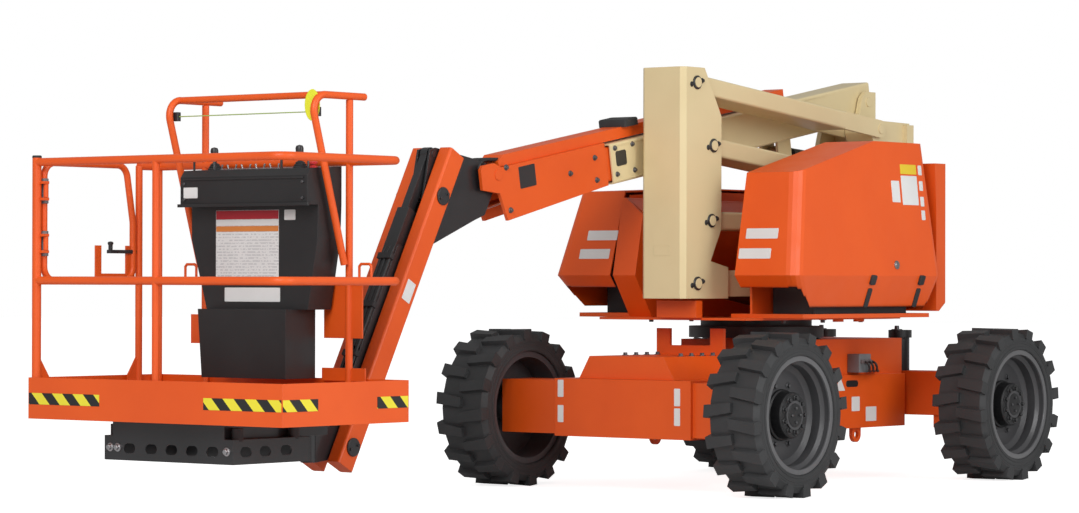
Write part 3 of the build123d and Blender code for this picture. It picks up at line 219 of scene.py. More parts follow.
# Paints whose edges are rubbed.
painted = ("orange_paint", "hood_shell", "weight_iron", "tan_paint", "black_paint", "rim_paint")
finishes = {  # name: colour, dark colour, roughness, grain scale, grain depth, metallic, coat
    "orange_paint": ((0.80, 0.100, 0.005), (0.75, 0.088, 0.004), 0.46, 500.0, 0.0004, 0.0, 0.04),
    "hood_shell": ((0.84, 0.104, 0.004), (0.80, 0.094, 0.003), 0.46, 300.0, 0.0004, 0.0, 0.04),
    "weight_iron": ((0.78, 0.098, 0.006), (0.72, 0.086, 0.005), 0.46, 90.0, 0.0012, 0.0, 0.04),
    "tan_paint": ((0.75, 0.62, 0.355), (0.71, 0.58, 0.325), 0.42, 500.0, 0.0004, 0.0, 0.2),
    "black_paint": ((0.022, 0.022, 0.024), (0.015, 0.015, 0.016), 0.34, 400.0, 0.0004, 0.0, 0.2),
    "cast_black": ((0.014, 0.014, 0.015), (0.009, 0.009, 0.010), 0.42, 70.0, 0.0015, 0.0, 0.0),
    "engine_iron": ((0.06, 0.06, 0.065), (0.035, 0.035, 0.037), 0.6, 60.0, 0.0015, 0.3, 0.0),
    "rim_paint": ((0.070, 0.069, 0.073), (0.056, 0.056, 0.059), 0.42, 300.0, 0.0004, 0.1, 0.1),
    "tyre_rubber": ((0.040, 0.041, 0.043), (0.027, 0.028, 0.029), 0.62, 120.0, 0.0010, 0.0, 0.0),
    "tank_plastic": ((0.02, 0.02, 0.021), (0.014, 0.014, 0.015), 0.5, 200.0, 0.0006, 0.0, 0.0),
    "console_plastic": ((0.018, 0.018, 0.019), (0.012, 0.012, 0.013), 0.42, 350.0, 0.0005, 0.0, 0.1),
    "rod_chrome": ((0.62, 0.63, 0.65), (0.55, 0.56, 0.58), 0.16, 600.0, 0.0001, 1.0, 0.0),
    # A lighter, glossier copy of the rim's grey: a painted highlight for the lit lip of the rim.
    "rim_painted_highlight": ((0.15, 0.15, 0.155), (0.12, 0.12, 0.125), 0.36, 300.0, 0.0004, 0.2, 0.1),
    "zinc": ((0.45, 0.45, 0.46), (0.33, 0.33, 0.34), 0.34, 300.0, 0.0003, 1.0, 0.0),
    "dull_steel": ((0.16, 0.16, 0.165), (0.10, 0.10, 0.105), 0.45, 200.0, 0.0005, 0.8, 0.0),
    "hose_rubber": ((0.016, 0.016, 0.017), (0.010, 0.010, 0.011), 0.5, 240.0, 0.0006, 0.0, 0.0),
    "grip_rubber": ((0.03, 0.03, 0.032), (0.02, 0.02, 0.021), 0.7, 500.0, 0.0004, 0.0, 0.0),
    "label_white": ((0.80, 0.80, 0.79), (0.72, 0.72, 0.71), 0.40, 400.0, 0.0001, 0.0, 0.1),
    "label_yellow": ((0.85, 0.62, 0.03), (0.80, 0.56, 0.02), 0.40, 400.0, 0.0001, 0.0, 0.1),
    "label_red": ((0.50, 0.015, 0.03), (0.44, 0.012, 0.025), 0.40, 400.0, 0.0001, 0.0, 0.1),
    "label_amber": ((0.70, 0.24, 0.05), (0.64, 0.20, 0.04), 0.40, 400.0, 0.0001, 0.0, 0.1),
    "tape_yellow": ((0.86, 0.76, 0.04), (0.80, 0.70, 0.03), 0.40, 400.0, 0.0001, 0.0, 0.1),
    "strap_grey": ((0.20, 0.21, 0.22), (0.15, 0.155, 0.16), 0.5, 300.0, 0.0004, 0.1, 0.0),
    "flag_yellow": ((0.72, 0.74, 0.02), (0.64, 0.66, 0.02), 0.45, 200.0, 0.0003, 0.0, 0.1),
    "cable_green": ((0.38, 0.52, 0.12), (0.30, 0.43, 0.09), 0.45, 400.0, 0.0003, 0.0, 0.1),
    "switch_red": ((0.62, 0.02, 0.02), (0.55, 0.015, 0.015), 0.3, 400.0, 0.0001, 0.0, 0.2),
    "lamp_red": ((0.45, 0.01, 0.012), (0.38, 0.008, 0.01), 0.15, 100.0, 0.0004, 0.0, 0.6),
}
patterned = {  # name: finish that it is drawn on, its pattern
    "tape_front": ("tape_yellow", stripes((0.0, 1.0, 1.0))),
    "tape_side": ("tape_yellow", stripes((-1.0, 0.0, 1.0))),
    "sheet_print": ("label_white", printed_rows()),
}
materials = {}
for name, finish in finishes.items():
    materials[name] = finish_material(name, *finish, edge=wear if name in painted else 0.0)
for name, (finish, pattern) in patterned.items():
    materials[name] = finish_material(name, *finishes[finish], pattern=pattern)

for part in frame["record"]["subparts"]:
    mesh = nodes[part["node"]].data
    mesh.materials.clear()
    mesh.materials.append(materials[part["material_slot"]])


# --- making pieces ----------------------------------------------------------------------------------
sunk = 0.001  # how far a turned or bolted piece reaches into what carries it


def facing(place, out, up=Z):
    """A frame at a place: its Z points out of the surface and its Y as nearly up as it can."""
    out = Vector(out).normalized()
    side = Vector(up).cross(out)
    if side.length < 1e-6:
        side = X.copy()
    side.normalize()
    rows = Matrix((side, out.cross(side), out)).transposed().to_4x4()
    return Matrix.Translation(Vector(place)) @ rows


def surface(node, start, direction):
    """Where a line from a start first meets a node, and the way that surface faces."""
    hit, place, normal, _ = nodes[node].ray_cast(Vector(start), Vector(direction).normalized())
    if not hit:
        raise ValueError(f"nothing of {node} lies that way from {tuple(start)}")
    return place, normal


def on_surface(node, start, direction, up=Z):
    """A frame where a line first meets a node, its Z out of the surface."""
    return facing(*surface(node, start, direction), up)


def raised(base, height):
    """A frame moved along its own Z."""
    return base @ Matrix.Translation((0.0, 0.0, height))


def around(base, radius, count, level, start=0.0):
    """Frames spaced evenly on a circle about a frame's Z; start is a share of the first step."""
    places = []
    for step in range(count):
        turn = 2 * math.pi * (step + start) / count
        places.append(base @ Matrix.Translation((radius * math.cos(turn), radius * math.sin(turn), level)))
    return places


def wall(mesh, low, high):
    """The band of faces between two loops of as many points."""
    for step in range(len(low)):
        following = (step + 1) % len(low)
        mesh.faces.new((low[step], low[following], high[following], high[step]))


def close_tube(mesh, rings):
    """Walls from each loop to the next, and a face over the first and the last."""
    for low, high in zip(rings, rings[1:]):
        wall(mesh, low, high)
    mesh.faces.new(list(reversed(rings[0])))
    mesh.faces.new(rings[-1])


def prism(mesh, base, outline, depth, chamfer=0.0):
    """A plate on a frame's XY plane, raised along its Z, its far edge drawn in by a chamfer."""
    count = len(outline)
    middle = Vector((sum(x for x, _ in outline) / count, sum(y for _, y in outline) / count, 0.0))
    levels = [(0.0, 0.0), (depth - chamfer, 0.0)]
    if chamfer:
        levels.append((depth, chamfer))
    rings = []
    for z, inset in levels:
        loop = []
        for x, y in outline:
            point = Vector((x, y, 0.0))
            reach = (point - middle).length
            point = middle + (point - middle) * ((reach - inset) / reach)
            loop.append(mesh.verts.new(base @ Vector((point.x, point.y, z))))
        rings.append(loop)
    close_tube(mesh, rings)


def rounded(width, height, radius, steps=4):
    """A rectangle with round corners, about the middle."""
    points = []
    for corner, (way_x, way_y) in enumerate(((1, 1), (-1, 1), (-1, -1), (1, -1))):
        for step in range(steps + 1):
            turn = math.radians(90.0 * corner + 90.0 * step / steps)
            points.append((way_x * (width / 2 - radius) + radius * math.cos(turn),
                           way_y * (height / 2 - radius) + radius * math.sin(turn)))
    return points


def circle(radius, sides, stretch=1.0):
    """The points of a circle, or of an oval that is stretched along Y."""
    turns = (2 * math.pi * step / sides for step in range(sides))
    return [(radius * math.cos(turn), stretch * radius * math.sin(turn)) for turn in turns]


def lathe(mesh, base, profile, sides):
    """A turned form about a frame's Z: profile is (height, radius), closed flat at an end off the axis."""
    profile = list(profile)
    if profile[0][1]:
        profile.insert(0, (profile[0][0], 0.0))
    if profile[-1][1]:
        profile.append((profile[-1][0], 0.0))
    rings = []
    for height, radius in profile:
        if radius == 0.0:
            rings.append([mesh.verts.new(base @ Vector((0.0, 0.0, height)))])
        else:
            rings.append([mesh.verts.new(base @ Vector((x, y, height))) for x, y in circle(radius, sides)])
    for low, high in zip(rings, rings[1:]):
        if len(low) == len(high):
            wall(mesh, low, high)
            continue
        for step in range(sides):
            following = (step + 1) % sides
            if len(low) == 1:
                mesh.faces.new((low[0], high[following], high[step]))
            else:
                mesh.faces.new((low[step], low[following], high[0]))


def ring(mesh, base, inner, outer, low, high, sides, soften=0.0015):
    """A closed ring of rectangular section with softened edges."""
    section = [(low, inner), (low, outer - soften), (low + soften, outer), (high - soften, outer),
               (high, outer - soften), (high, inner + soften), (high - soften, inner)]
    rings = [[mesh.verts.new(base @ Vector((x, y, z))) for x, y in circle(radius, sides)]
             for z, radius in section]
    for low_ring, high_ring in zip(rings, rings[1:] + rings[:1]):
        wall(mesh, low_ring, high_ring)


def bolt(mesh, base, size, washer=True):
    """A hexagonal head on its washer; size is across the flats."""
    washer_radius, washer_top = 0.85 * size, 0.003
    head_radius, head_low = size / math.sqrt(3.0), 0.0
    if washer:
        lathe(mesh, base, ((-sunk, washer_radius), (0.0025, washer_radius), (washer_top, 0.8 * size)), 20)
        head_low = 0.0028
    lathe(mesh, base, ((head_low - sunk, head_radius), (head_low + 0.52 * size, head_radius),
                       (head_low + 0.6 * size, 0.86 * head_radius)), 6)


def pipe(mesh, points, radius):
    """A round bar along straight runs, mitred at its corners."""
    sides = 12
    points = [Vector(point) for point in points]
    rings = []
    guide = None
    for index, point in enumerate(points):
        before = (point - points[index - 1]).normalized() if index else None
        after = (points[index + 1] - point).normalized() if index + 1 < len(points) else None
        way = ((before or after) + (after or before)).normalized()
        if guide is None:
            guide = way.cross(Z if abs(way.z) < 0.9 else X).normalized()
        guide = (guide - way * guide.dot(way)).normalized()
        other = way.cross(guide)
        stretch = 1.0 / max(0.5, way.dot(after or before))
        bend = (after or before) - (before or after)
        bend = bend.normalized() if bend.length > 1e-6 else None
        loop = []
        for x, y in circle(radius, sides):
            offset = guide * x + other * y
            if bend is not None:
                offset += bend * offset.dot(bend) * (stretch - 1.0)
            loop.append(mesh.verts.new(point + offset))
        rings.append(loop)
    close_tube(mesh, rings)


def box_between(mesh, low, high, chamfer=0.002):
    """A block with softened upper edges between two corners."""
    low, high = Vector(low), Vector(high)
    middle = (low + high) / 2
    size = high - low
    outline = rounded(size.x, size.y, min(0.004, size.x / 4, size.y / 4), 2)
    prism(mesh, facing((middle.x, middle.y, low.z), Z, Y), outline, size.z, min(chamfer, size.z / 3))


def piece(name, body, finish, mesh, smooth=35.0):
    """Closes a mesh into a named piece that moves with a body."""
    bmesh.ops.recalc_face_normals(mesh, faces=mesh.faces)
    data = bpy.data.meshes.new(name)
    mesh.to_mesh(data)
    mesh.free()
    data.materials.append(materials[finish])
    data.shade_smooth()
    data.set_sharp_from_angle(angle=math.radians(smooth))
    made = bpy.data.objects.new(name, data)
    bpy.context.collection.objects.link(made)
    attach(made, body)
    return made


def turned(name, body, finish, base, profile, sides):
    """A piece that is one turned form."""
    mesh = bmesh.new()
    lathe(mesh, base, profile, sides)
    return piece(name, body, finish, mesh)


def plate(name, body, finish, base, outline, depth, chamfer=0.0):
    """A piece that is one plate."""
    mesh = bmesh.new()
    prism(mesh, base, outline, depth, chamfer)
    return piece(name, body, finish, mesh)


def label(name, body, base, width, height, finish="label_white", radius=0.004):
    """A thin blank label seated on a surface."""
    seat, depth = 0.0004, 0.0008
    return plate(name, body, finish, raised(base, -seat), rounded(width, height, radius), depth + seat)


def bolts(name, body, bases, size, finish="dull_steel", washer=True):
    """A piece with a bolt at each of its frames."""
    mesh = bmesh.new()
    for base in bases:
        bolt(mesh, base, size, washer)
    return piece(name, body, finish, mesh)


def hose(name, body, points, diameter, finish="hose_rubber"):
    """A hose or cable on one smooth curve."""
    data = bpy.data.curves.new(name, "CURVE")
    data.dimensions = "3D"
    data.bevel_depth = diameter / 2
    data.bevel_resolution = 3
    data.resolution_u = 8
    data.use_fill_caps = True
    spline = data.splines.new("NURBS")
    spline.points.add(len(points) - 1)
    for point, place in zip(spline.points, points):
        point.co = (*place, 1.0)
    spline.order_u = 3
    spline.use_endpoint_u = True
    data.materials.append(materials[finish])
    made = bpy.data.objects.new(name, data)
    bpy.context.collection.objects.link(made)
    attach(made, body)
    return made


# --- wheels -----------------------------------------------------------------------------------------
lug_pairs = 16
rim_lip = (0.258, 0.2835)  # inner and outer radius
hub_radius = 0.124
hub_bolt_circle, cap_bolt_circle, nut_circle = 0.083, 0.034, 0.148
sidewall_ribs = ((0.2885, 0.3, 0.0024), (0.316, 0.3205, 0.0014), (0.328, 0.332, 0.0012))  # radii, rise


def lug_feet(mesh, centre, out, half, tyre_radius):
    """The wedges that carry each lug down the sidewall, half a pitch apart on the two sides."""
    profile = ((0.322, half - 0.006), (0.338, half - 0.0005), (tyre_radius - 0.022, half - 0.0005),
               (tyre_radius - 0.022, half - 0.024))
    mirror = out.y
    for row, start in ((1, 0.25), (-1, 0.75)):
        for step in range(lug_pairs):
            turn = 2 * math.pi * (step + start) / lug_pairs
            radial = Vector((mirror * math.sin(turn), 0.0, math.cos(turn)))
            tangent = Vector((mirror * math.cos(turn), 0.0, -math.sin(turn)))
            loops = []
            for edge in (-0.009, 0.036):
                places = [centre + radial * radius + Y * (mirror * row * level) + tangent * edge
                          for radius, level in profile]
                loops.append([mesh.verts.new(place) for place in places])
            close_tube(mesh, loops)


def dress_wheel(name):
    """Black hub, nuts, the rim's lip in a lighter grey as a painted highlight, sidewall ribs and the feet of the
    lugs.
    """
    body = f"wheel_{name}"
    centre = pin(f"spin_{name}")
    out = Y if centre.y > 0 else -Y
    base = facing(centre, out)
    tyre_low, tyre_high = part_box(f"tyre_{name}")
    half = (tyre_high.y - tyre_low.y) / 2

    def height(radius):
        """How far the rim stands out of the wheel's middle at a radius."""
        place, _ = surface(f"rim_{name}", centre + out * 0.5 + X * radius, -out)
        return (place - centre).dot(out)

    disc, face = height(0.16), height(0.09)
    turned(f"hub_{name}", body, "cast_black", base,
           ((disc - sunk, hub_radius), (disc + 0.010, 0.122), (disc + 0.014, 0.1125), (face - 0.004, 0.1105),
            (face + 0.004, 0.104), (face + 0.004, 0.062), (face + 0.013, 0.056), (face + 0.016, 0.048)),
           48)
    bolts(f"hub_bolts_{name}", body, around(base, hub_bolt_circle, 9, face + 0.004), 0.020, "black_paint")
    bolts(f"cap_bolts_{name}", body, around(base, cap_bolt_circle, 4, face + 0.016), 0.012, washer=False)
    bolts(f"wheel_nuts_{name}", body, around(base, nut_circle, 8, disc, 0.5), 0.019)
    # The rim's lip is a ring in a lighter grey than the rim: a painted highlight where light falls on it.
    mesh = bmesh.new()
    ring(mesh, base, *rim_lip, half - 0.0165, half - 0.0075, 64)
    piece(f"rim_edge_{name}", body, "rim_painted_highlight", mesh)
    mesh = bmesh.new()
    for side_base in (base, facing(centre, -out)):
        for inner, outer, rise in sidewall_ribs:
            ring(mesh, side_base, inner, outer, half - 0.0065, half - 0.004 + rise, 64, 0.0008)
    lug_feet(mesh, centre, out, half, (tyre_high.z - tyre_low.z) / 2)
    piece(f"sidewall_{name}", body, "tyre_rubber", mesh)


for wheel in ("front_left", "front_right", "rear_left", "rear_right"):
    dress_wheel(wheel)


# --- platform ---------------------------------------------------------------------------------------
floor_low, floor_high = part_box("platform_floor")
rails_low, rails_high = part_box("platform_rails")
guard_low, guard_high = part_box("overhead_guard")
boom_y = pin("main_lift").y
front_x, left_y, right_y = floor_high.x, floor_high.y, floor_low.y
tape_z = floor_low.z + 0.088
tape_height = 0.050
tape_proud = 0.0004
corner_gap = 0.004


def tape(name, finish, low, high, out):
    """A strip of striped tape on the toe board between two points."""
    low, high = Vector(low), Vector(high)
    place = facing((low + high) / 2 + Vector(out) * tape_proud, out)
    label(name, "platform", place, (high - low).length, tape_height, finish, 0.001)


for name, start, end in (("tape_front_right", right_y + corner_gap, right_y + 0.438),
                         ("tape_front_left", left_y - 0.446, left_y - corner_gap)):
    tape(name, "tape_front", (front_x, start, tape_z), (front_x, end, tape_z), X)
for name, start, end in (("tape_side_front", front_x - 0.22, front_x - corner_gap),
                         ("tape_side_rear", floor_low.x + corner_gap, floor_low.x + 0.205)):
    tape(name, "tape_side", (start, left_y, tape_z), (end, left_y, tape_z), Y)
for name, start, end in (("tape_gate_front", front_x - 0.24, front_x - corner_gap),
                         ("tape_gate_rear", floor_low.x + corner_gap, floor_low.x + 0.24)):
    tape(name, "tape_side", (start, right_y, tape_z), (end, right_y, tape_z), -Y)

slats, slat_half, slat_rise = 34, 0.007, 0.0035
tread_low, tread_high = floor_low + Vector((0.05, 0.03, 0.0)), floor_high - Vector((0.03, 0.03, 0.0))
floor_z = surface("platform_floor", (front_x - 0.15, boom_y + 0.5, floor_high.z + 0.2), -Z)[0].z
mesh = bmesh.new()
for step in range(slats):
    y = tread_low.y + (tread_high.y - tread_low.y) * (step + 0.5) / slats
    box_between(mesh, (tread_low.x, y - slat_half, floor_z - 0.0005),
                (tread_high.x, y + slat_half, floor_z + slat_rise), 0.001)
piece("floor_tread", "platform", "dull_steel", mesh, smooth=20.0)

tube_radius = 0.02
post_top = 1.5645
mid_rail_top = 1.046
mesh = bmesh.new()
for x in (rails_high.x - tube_radius, rails_low.x + tube_radius):
    lathe(mesh, facing((x, rails_low.y + tube_radius, post_top), Z, Y),
          ((0.0, 0.021), (0.006, 0.021), (0.010, 0.018)), 24)
piece("post_caps", "platform", "grip_rubber", mesh)


def arch(mesh, x, low_y, high_y, levels, corner, radius):
    """A bar that rises, crosses along Y and comes down; levels are its foot, its bends' start and its top."""
    foot, bend, top = levels
    pipe(mesh, ((x, low_y, foot), (x, low_y, bend), (x, low_y + corner, top), (x, high_y - corner, top),
                (x, high_y, bend), (x, high_y, foot)), radius)


# Lanyard eyes stand on the rear middle rail.
mesh = bmesh.new()
for y in (guard_low.y - 0.075, guard_high.y + 0.075):
    arch(mesh, rails_low.x + 0.018, y - 0.034, y + 0.034,
         (mid_rail_top - 0.004, mid_rail_top + 0.046, mid_rail_top + 0.056), 0.010, 0.006)
piece("lanyard_eyes", "platform", "orange_paint", mesh)

# Gate: grey sleeves on its hinge side, and its latch.
gate_y = rails_low.y + tube_radius
gate_bar_x = surface("gate", (pin("gate_swing").x - 0.1, gate_y, 1.305), X)[0].x + 0.015
mesh = bmesh.new()
for z in (1.19, 1.42):
    ring(mesh, facing((gate_bar_x, gate_y, z), Z, Y), 0.0155, 0.0195, -0.055, 0.055, 32)
piece("gate_sleeves", "gate", "strap_grey", mesh)
latch_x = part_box("gate")[0].x + 0.19
latch_low, latch_high = 1.150, 1.166
mesh = bmesh.new()
box_between(mesh, (latch_x - 0.19, gate_y - 0.011, latch_low), (latch_x - 0.02, gate_y + 0.011, latch_high))
lathe(mesh, facing((latch_x - 0.035, gate_y, latch_high), Z, Y),
      ((0.0, 0.010), (0.02, 0.010), (0.03, 0.014), (0.036, 0.010), (0.038, 0.0)), 20)
piece("gate_latch", "gate", "black_paint", mesh)

# --- overhead guard: its cable, brackets and flag ---------------------------------------------------
cable_x = guard_high.x - 0.048
cable_z = guard_high.z - 0.090
cable_y = (guard_low.y + 0.045, guard_high.y - 0.045)
bracket_half, bracket_rise, bracket_length = 0.012, 0.02, 0.034
mesh = bmesh.new()
for y in cable_y:
    low_y, high_y = sorted((y, y + (bracket_length if y > boom_y else -bracket_length)))
    box_between(mesh, (cable_x - bracket_half, low_y, cable_z - bracket_rise),
                (cable_x + bracket_half, high_y, cable_z + bracket_rise))
piece("cable_brackets", "platform", "black_paint", mesh)
cable_points = [(cable_x, cable_y[0] + (cable_y[1] - cable_y[0]) * step / 6, cable_z) for step in range(7)]
cable = hose("sensing_cable", "platform", cable_points, 0.005, "cable_green")
flag_place = facing((cable_x + 0.016, cable_y[1] + 0.006, cable_z + 0.028), X + Y * 0.3)
plate("flag", "platform", "flag_yellow", flag_place, circle(0.036, 28, 1.9), 0.002)

# --- console ----------------------------------------------------------------------------------------
console_low, console_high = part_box("control_console")
head_x = console_high.x


def on_console(y, z):
    """A place on the console's front."""
    return on_surface("control_console", (front_x, y, z), -X)


def deck(x, y):
    """A place on the console's sloped top."""
    return on_surface("control_console", (x, y, console_high.z + 0.1), -Z, X)


toggle_count, toggle_pitch, toggle_tilt = 9, 0.042, 16.0
mesh = bmesh.new()
for step in range(toggle_count):
    place = deck(head_x - 0.052, console_low.y + 0.20 + toggle_pitch * step)
    lathe(mesh, place, ((-sunk, 0.009), (0.003, 0.009), (0.004, 0.006)), 6)
    lever = place @ Matrix.Rotation(math.radians(toggle_tilt if step % 2 else -toggle_tilt), 4, "Y")
    lathe(mesh, lever, ((0.0, 0.0028), (0.022, 0.0045), (0.024, 0.0)), 12)
piece("toggles", "platform", "zinc", mesh)

boots, sticks = bmesh.new(), bmesh.new()
for y in (console_low.y + 0.115, console_high.y - 0.13):
    place = deck(head_x - 0.10, y)
    lathe(boots, place, ((-sunk, 0.032), (0.006, 0.032), (0.010, 0.026), (0.014, 0.028), (0.019, 0.020),
                         (0.023, 0.022), (0.028, 0.014), (0.03, 0.010)), 28)
    lathe(sticks, place, ((0.024, 0.008), (0.045, 0.009), (0.052, 0.016), (0.085, 0.018), (0.096, 0.014),
                          (0.100, 0.0)), 24)
piece("boots", "platform", "grip_rubber", boots)
piece("joysticks", "platform", "console_plastic", sticks)
turned("stop_button", "platform", "switch_red", deck(head_x - 0.10, console_high.y - 0.055),
       ((-sunk, 0.020), (0.004, 0.020), (0.005, 0.012), (0.014, 0.012), (0.015, 0.020), (0.022, 0.021),
        (0.026, 0.016), (0.027, 0.0)), 28)

guard_x = head_x - 0.03
mesh = bmesh.new()
for low_y, high_y in ((console_low.y + 0.055, console_low.y + 0.175),
                      (console_low.y + 0.185, console_low.y + 0.575),
                      (console_high.y - 0.175, console_high.y - 0.02)):
    top_z = deck(guard_x, low_y).translation.z
    arch(mesh, guard_x, low_y, high_y, (top_z - 0.005, top_z + 0.038, top_z + 0.052), 0.016, 0.005)
piece("switch_guard", "platform", "black_paint", mesh)

sheet_y = console_low.y + 0.335
sheet_width, sheet_top, sheet_bottom = 0.375, 1.338, 1.035
label("sheet", "platform", on_console(sheet_y, (sheet_top + sheet_bottom) / 2), sheet_width,
      sheet_top - sheet_bottom, "sheet_print", 0.002)
for word, finish, top, bottom in (("red", "label_red", 0.002, 0.040), ("white", "label_white", 0.042, 0.068),
                                  ("amber", "label_amber", 0.070, 0.094)):
    place = raised(on_console(sheet_y, sheet_top - (top + bottom) / 2), 0.0005)
    label(f"sheet_{word}_band", "platform", place, sheet_width - 0.004, bottom - top, finish, 0.002)
for name, y, z, width, height in (("label_head", console_low.y + 0.062, 1.415, 0.085, 0.048),
                                  ("label_panel", console_high.y - 0.165, 1.315, 0.065, 0.045),
                                  ("label_foot", boom_y + 0.015, 0.968, 0.33, 0.062)):
    label(name, "platform", on_console(y, z), width, height)

# A lip across the console's front, and a rib above it.
mesh = bmesh.new()
for bottom, top, out_x, out_y in ((1.352, 1.366, 0.010, 0.012), (1.470, 1.478, 0.006, -0.02)):
    box_between(mesh, (head_x - 0.006, console_low.y - out_y, bottom),
                (head_x + out_x, console_high.y + out_y, top))
piece("console_lip", "platform", "console_plastic", mesh)
bolts("console_bolts", "platform",
      [on_console(y, z) for z in (1.385, 1.455) for y in (console_low.y + 0.025, console_high.y - 0.025)],
      0.012, washer=False)

# --- platform support -------------------------------------------------------------------------------
support_low, support_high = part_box("platform_support")
mesh = bmesh.new()
for y in (boom_y - 0.36, boom_y + 0.36):
    for x in (support_high.x - 0.40, support_high.x - 0.05):
        lathe(mesh, facing((x, y, support_low.z + 0.098), Z, Y),
              ((0.0, 0.024), (0.055, 0.024), (0.058, 0.0)), 20)
piece("support_bushes", "platform", "grip_rubber", mesh)
bolts("support_bolts", "platform",
      [on_surface("platform_support", (support_high.x + 0.1, boom_y + y, support_low.z + 0.055), -X)
       for y in (-0.345, -0.30, 0.345)], 0.022, "zinc")

# --- boom: covers, seams, bolts ---------------------------------------------------------------------
boom_foot = pin("main_lift")
boom_way = Vector(joints["telescope"]["axis"])
boom_up = Vector((-boom_way.z, 0.0, boom_way.x))
plate_seat = 0.002  # how far a plate reaches into what carries it
seam_start, seam_end, seam_height = 0.35, 2.24, 0.086


def on_line(foot, way, up, distance, offset, y):
    """A place from a foot pin, along and above a beam's line."""
    place = foot + way * distance + up * offset
    return Vector((place.x, y, place.z))


def boom_line(distance, offset, y):
    """A place along and above the boom's line."""
    return on_line(boom_foot, boom_way, boom_up, distance, offset, y)


def on_boom(node, distance, offset, side):
    """A place on the side of one of the boom's nodes."""
    return on_surface(node, boom_line(distance, offset, boom_y + side), -Y * side, boom_up)


for side, word in both_sides:
    base = raised(on_boom("base_boom", 2.20, 0.02, side), -plate_seat)
    plate(f"wear_pad_cover_{word}", "base_boom", "black_paint", base,
          rounded(0.085, 0.075, 0.012), 0.0045, 0.001)
    bolts(f"wear_pad_bolts_{word}", "base_boom",
          [on_boom("base_boom", distance, offset, side) for distance, offset in
           ((2.10, -0.055), (2.10, 0.075), (2.245, -0.055), (2.245, 0.075))], 0.016)
    mesh = bmesh.new()
    for offset in (seam_height, -seam_height):
        base = raised(on_boom("base_boom", (seam_start + seam_end) / 2, offset, side), -plate_seat)
        prism(mesh, base, rounded(seam_end - seam_start, 0.008, 0.002, 2), 0.0045, 0.0012)
    piece(f"boom_seams_{word}", "base_boom", "tan_paint", mesh)
    bolts(f"nose_bolts_{word}", "fly_boom",
          [on_boom("fly_boom", distance, offset, side) for distance, offset in
           ((2.605, 0.003), (3.09, 0.105), (3.09, -0.10), (2.40, 0.05), (2.40, -0.06))], 0.017)
    base = raised(on_boom("fly_boom", 2.935, 0.04, side), -plate_seat)
    plate(f"nose_cover_{word}", "fly_boom", "black_paint", base,
          rounded(0.125, 0.105, 0.006), 0.0035, 0.001)
label("label_boom_side", "base_boom", on_boom("base_boom", 1.25, 0.0, -1), 0.16, 0.09)
base = raised(on_surface("hose_tray", boom_line(2.075, 0.5, boom_y), -boom_up, Y), -plate_seat)
plate("tray_clamp", "fly_boom", "grip_rubber", base, rounded(0.11, 0.17, 0.01), 0.038, 0.006)
tray_hose_route = ((2.96, 0.138), (3.02, 0.140), (3.08, 0.142), (3.13, 0.150), (3.185, 0.158), (3.225, 0.150),
                   (3.245, 0.120))  # along and above the boom's line
for index, offset in enumerate((-0.036, -0.012, 0.012, 0.036)):
    hose(f"tray_hose_{index}", "fly_boom",
         [boom_line(distance, height, boom_y + offset) for distance, height in tray_hose_route], 0.019)

# --- jib --------------------------------------------------------------------------------------------
jib_top, jib_foot = pin("jib_lift"), pin("foot_level")
jib_way = (jib_foot - jib_top).normalized()
jib_up = Vector((-jib_way.z, 0.0, jib_way.x))


def jib_line(distance, offset, y=boom_y):
    """A place along and above the jib's line."""
    return on_line(jib_top, jib_way, jib_up, distance, offset, y)


def pin_face(node, place, side, y):
    """A frame on a node's side, about a pin that goes through it."""
    beside_bore = 0.036
    hit, _ = surface(node, (place.x + beside_bore, y + side, place.z), -Y * side)
    return facing((place.x, hit.y, place.z), Y * side)


# A cover along the jib, in a deep and a shallow length; the jib's hoses lie on it.
cover_low, cover_high = 0.29, 0.98
mesh = bmesh.new()
for low, high, rise in ((cover_low, cover_high, 0.075), (cover_high - 0.004, cover_high + 0.16, 0.06)):
    base = facing(jib_line((low + high) / 2, 0.0) + jib_up * 0.012, jib_up, -jib_way)
    prism(mesh, base, rounded(0.078, high - low, 0.01), rise, 0.012)
piece("jib_cover", "jib_arm", "black_paint", mesh)
jib_hose_route = ((0.255, 0.045), (0.27, 0.080), (0.33, 0.096), (0.48, 0.094), (0.70, 0.096), (0.90, 0.094),
                  (1.04, 0.088), (1.12, 0.06), (1.15, 0.02))  # along and above the jib's line
for index, offset in enumerate((-0.026, 0.0, 0.026)):
    hose(f"jib_hose_{index}", "jib_arm",
         [jib_line(distance, height, boom_y + offset) for distance, height in jib_hose_route], 0.017)
mesh = bmesh.new()
for distance in (0.37, 0.62, 0.87):
    base = facing(jib_line(distance, 0.0) + jib_up * 0.084, jib_up, -jib_way)
    prism(mesh, base, rounded(0.084, 0.03, 0.004), 0.026, 0.003)
piece("jib_hose_clamps", "jib_arm", "grip_rubber", mesh)
cap_rise = 0.009
for side, word in both_sides:
    mesh = bmesh.new()
    for place in (jib_top, jib_foot):
        base = pin_face("jib_arm", place, side, boom_y)
        lathe(mesh, base, ((-sunk, 0.042), (0.006, 0.042), (cap_rise, 0.038)), 32)
        for bolt_place in around(base, 0.026, 2, cap_rise, 0.35 / math.pi):
            bolt(mesh, bolt_place, 0.014, False)
    piece(f"jib_pin_caps_{word}", "jib_arm", "black_paint", mesh)
label("label_jib", "jib_arm", on_surface("jib_arm", jib_line(0.5, 0.0, boom_y + 1), -Y, -jib_way), 0.06, 0.10)

# --- tower ------------------------------------------------------------------------------------------
tower_y = pin("tower_lift").y
pin_radius = 0.034
upright_foot = pin("upright_level")
link_foot = pin("lower_link_turn")
upright_pins = (upright_foot, pin("upper_lift"), pin("second_lift"),
                Vector((upright_foot.x + link_foot.x - pin("tower_lift").x, 0.0, link_foot.z)))


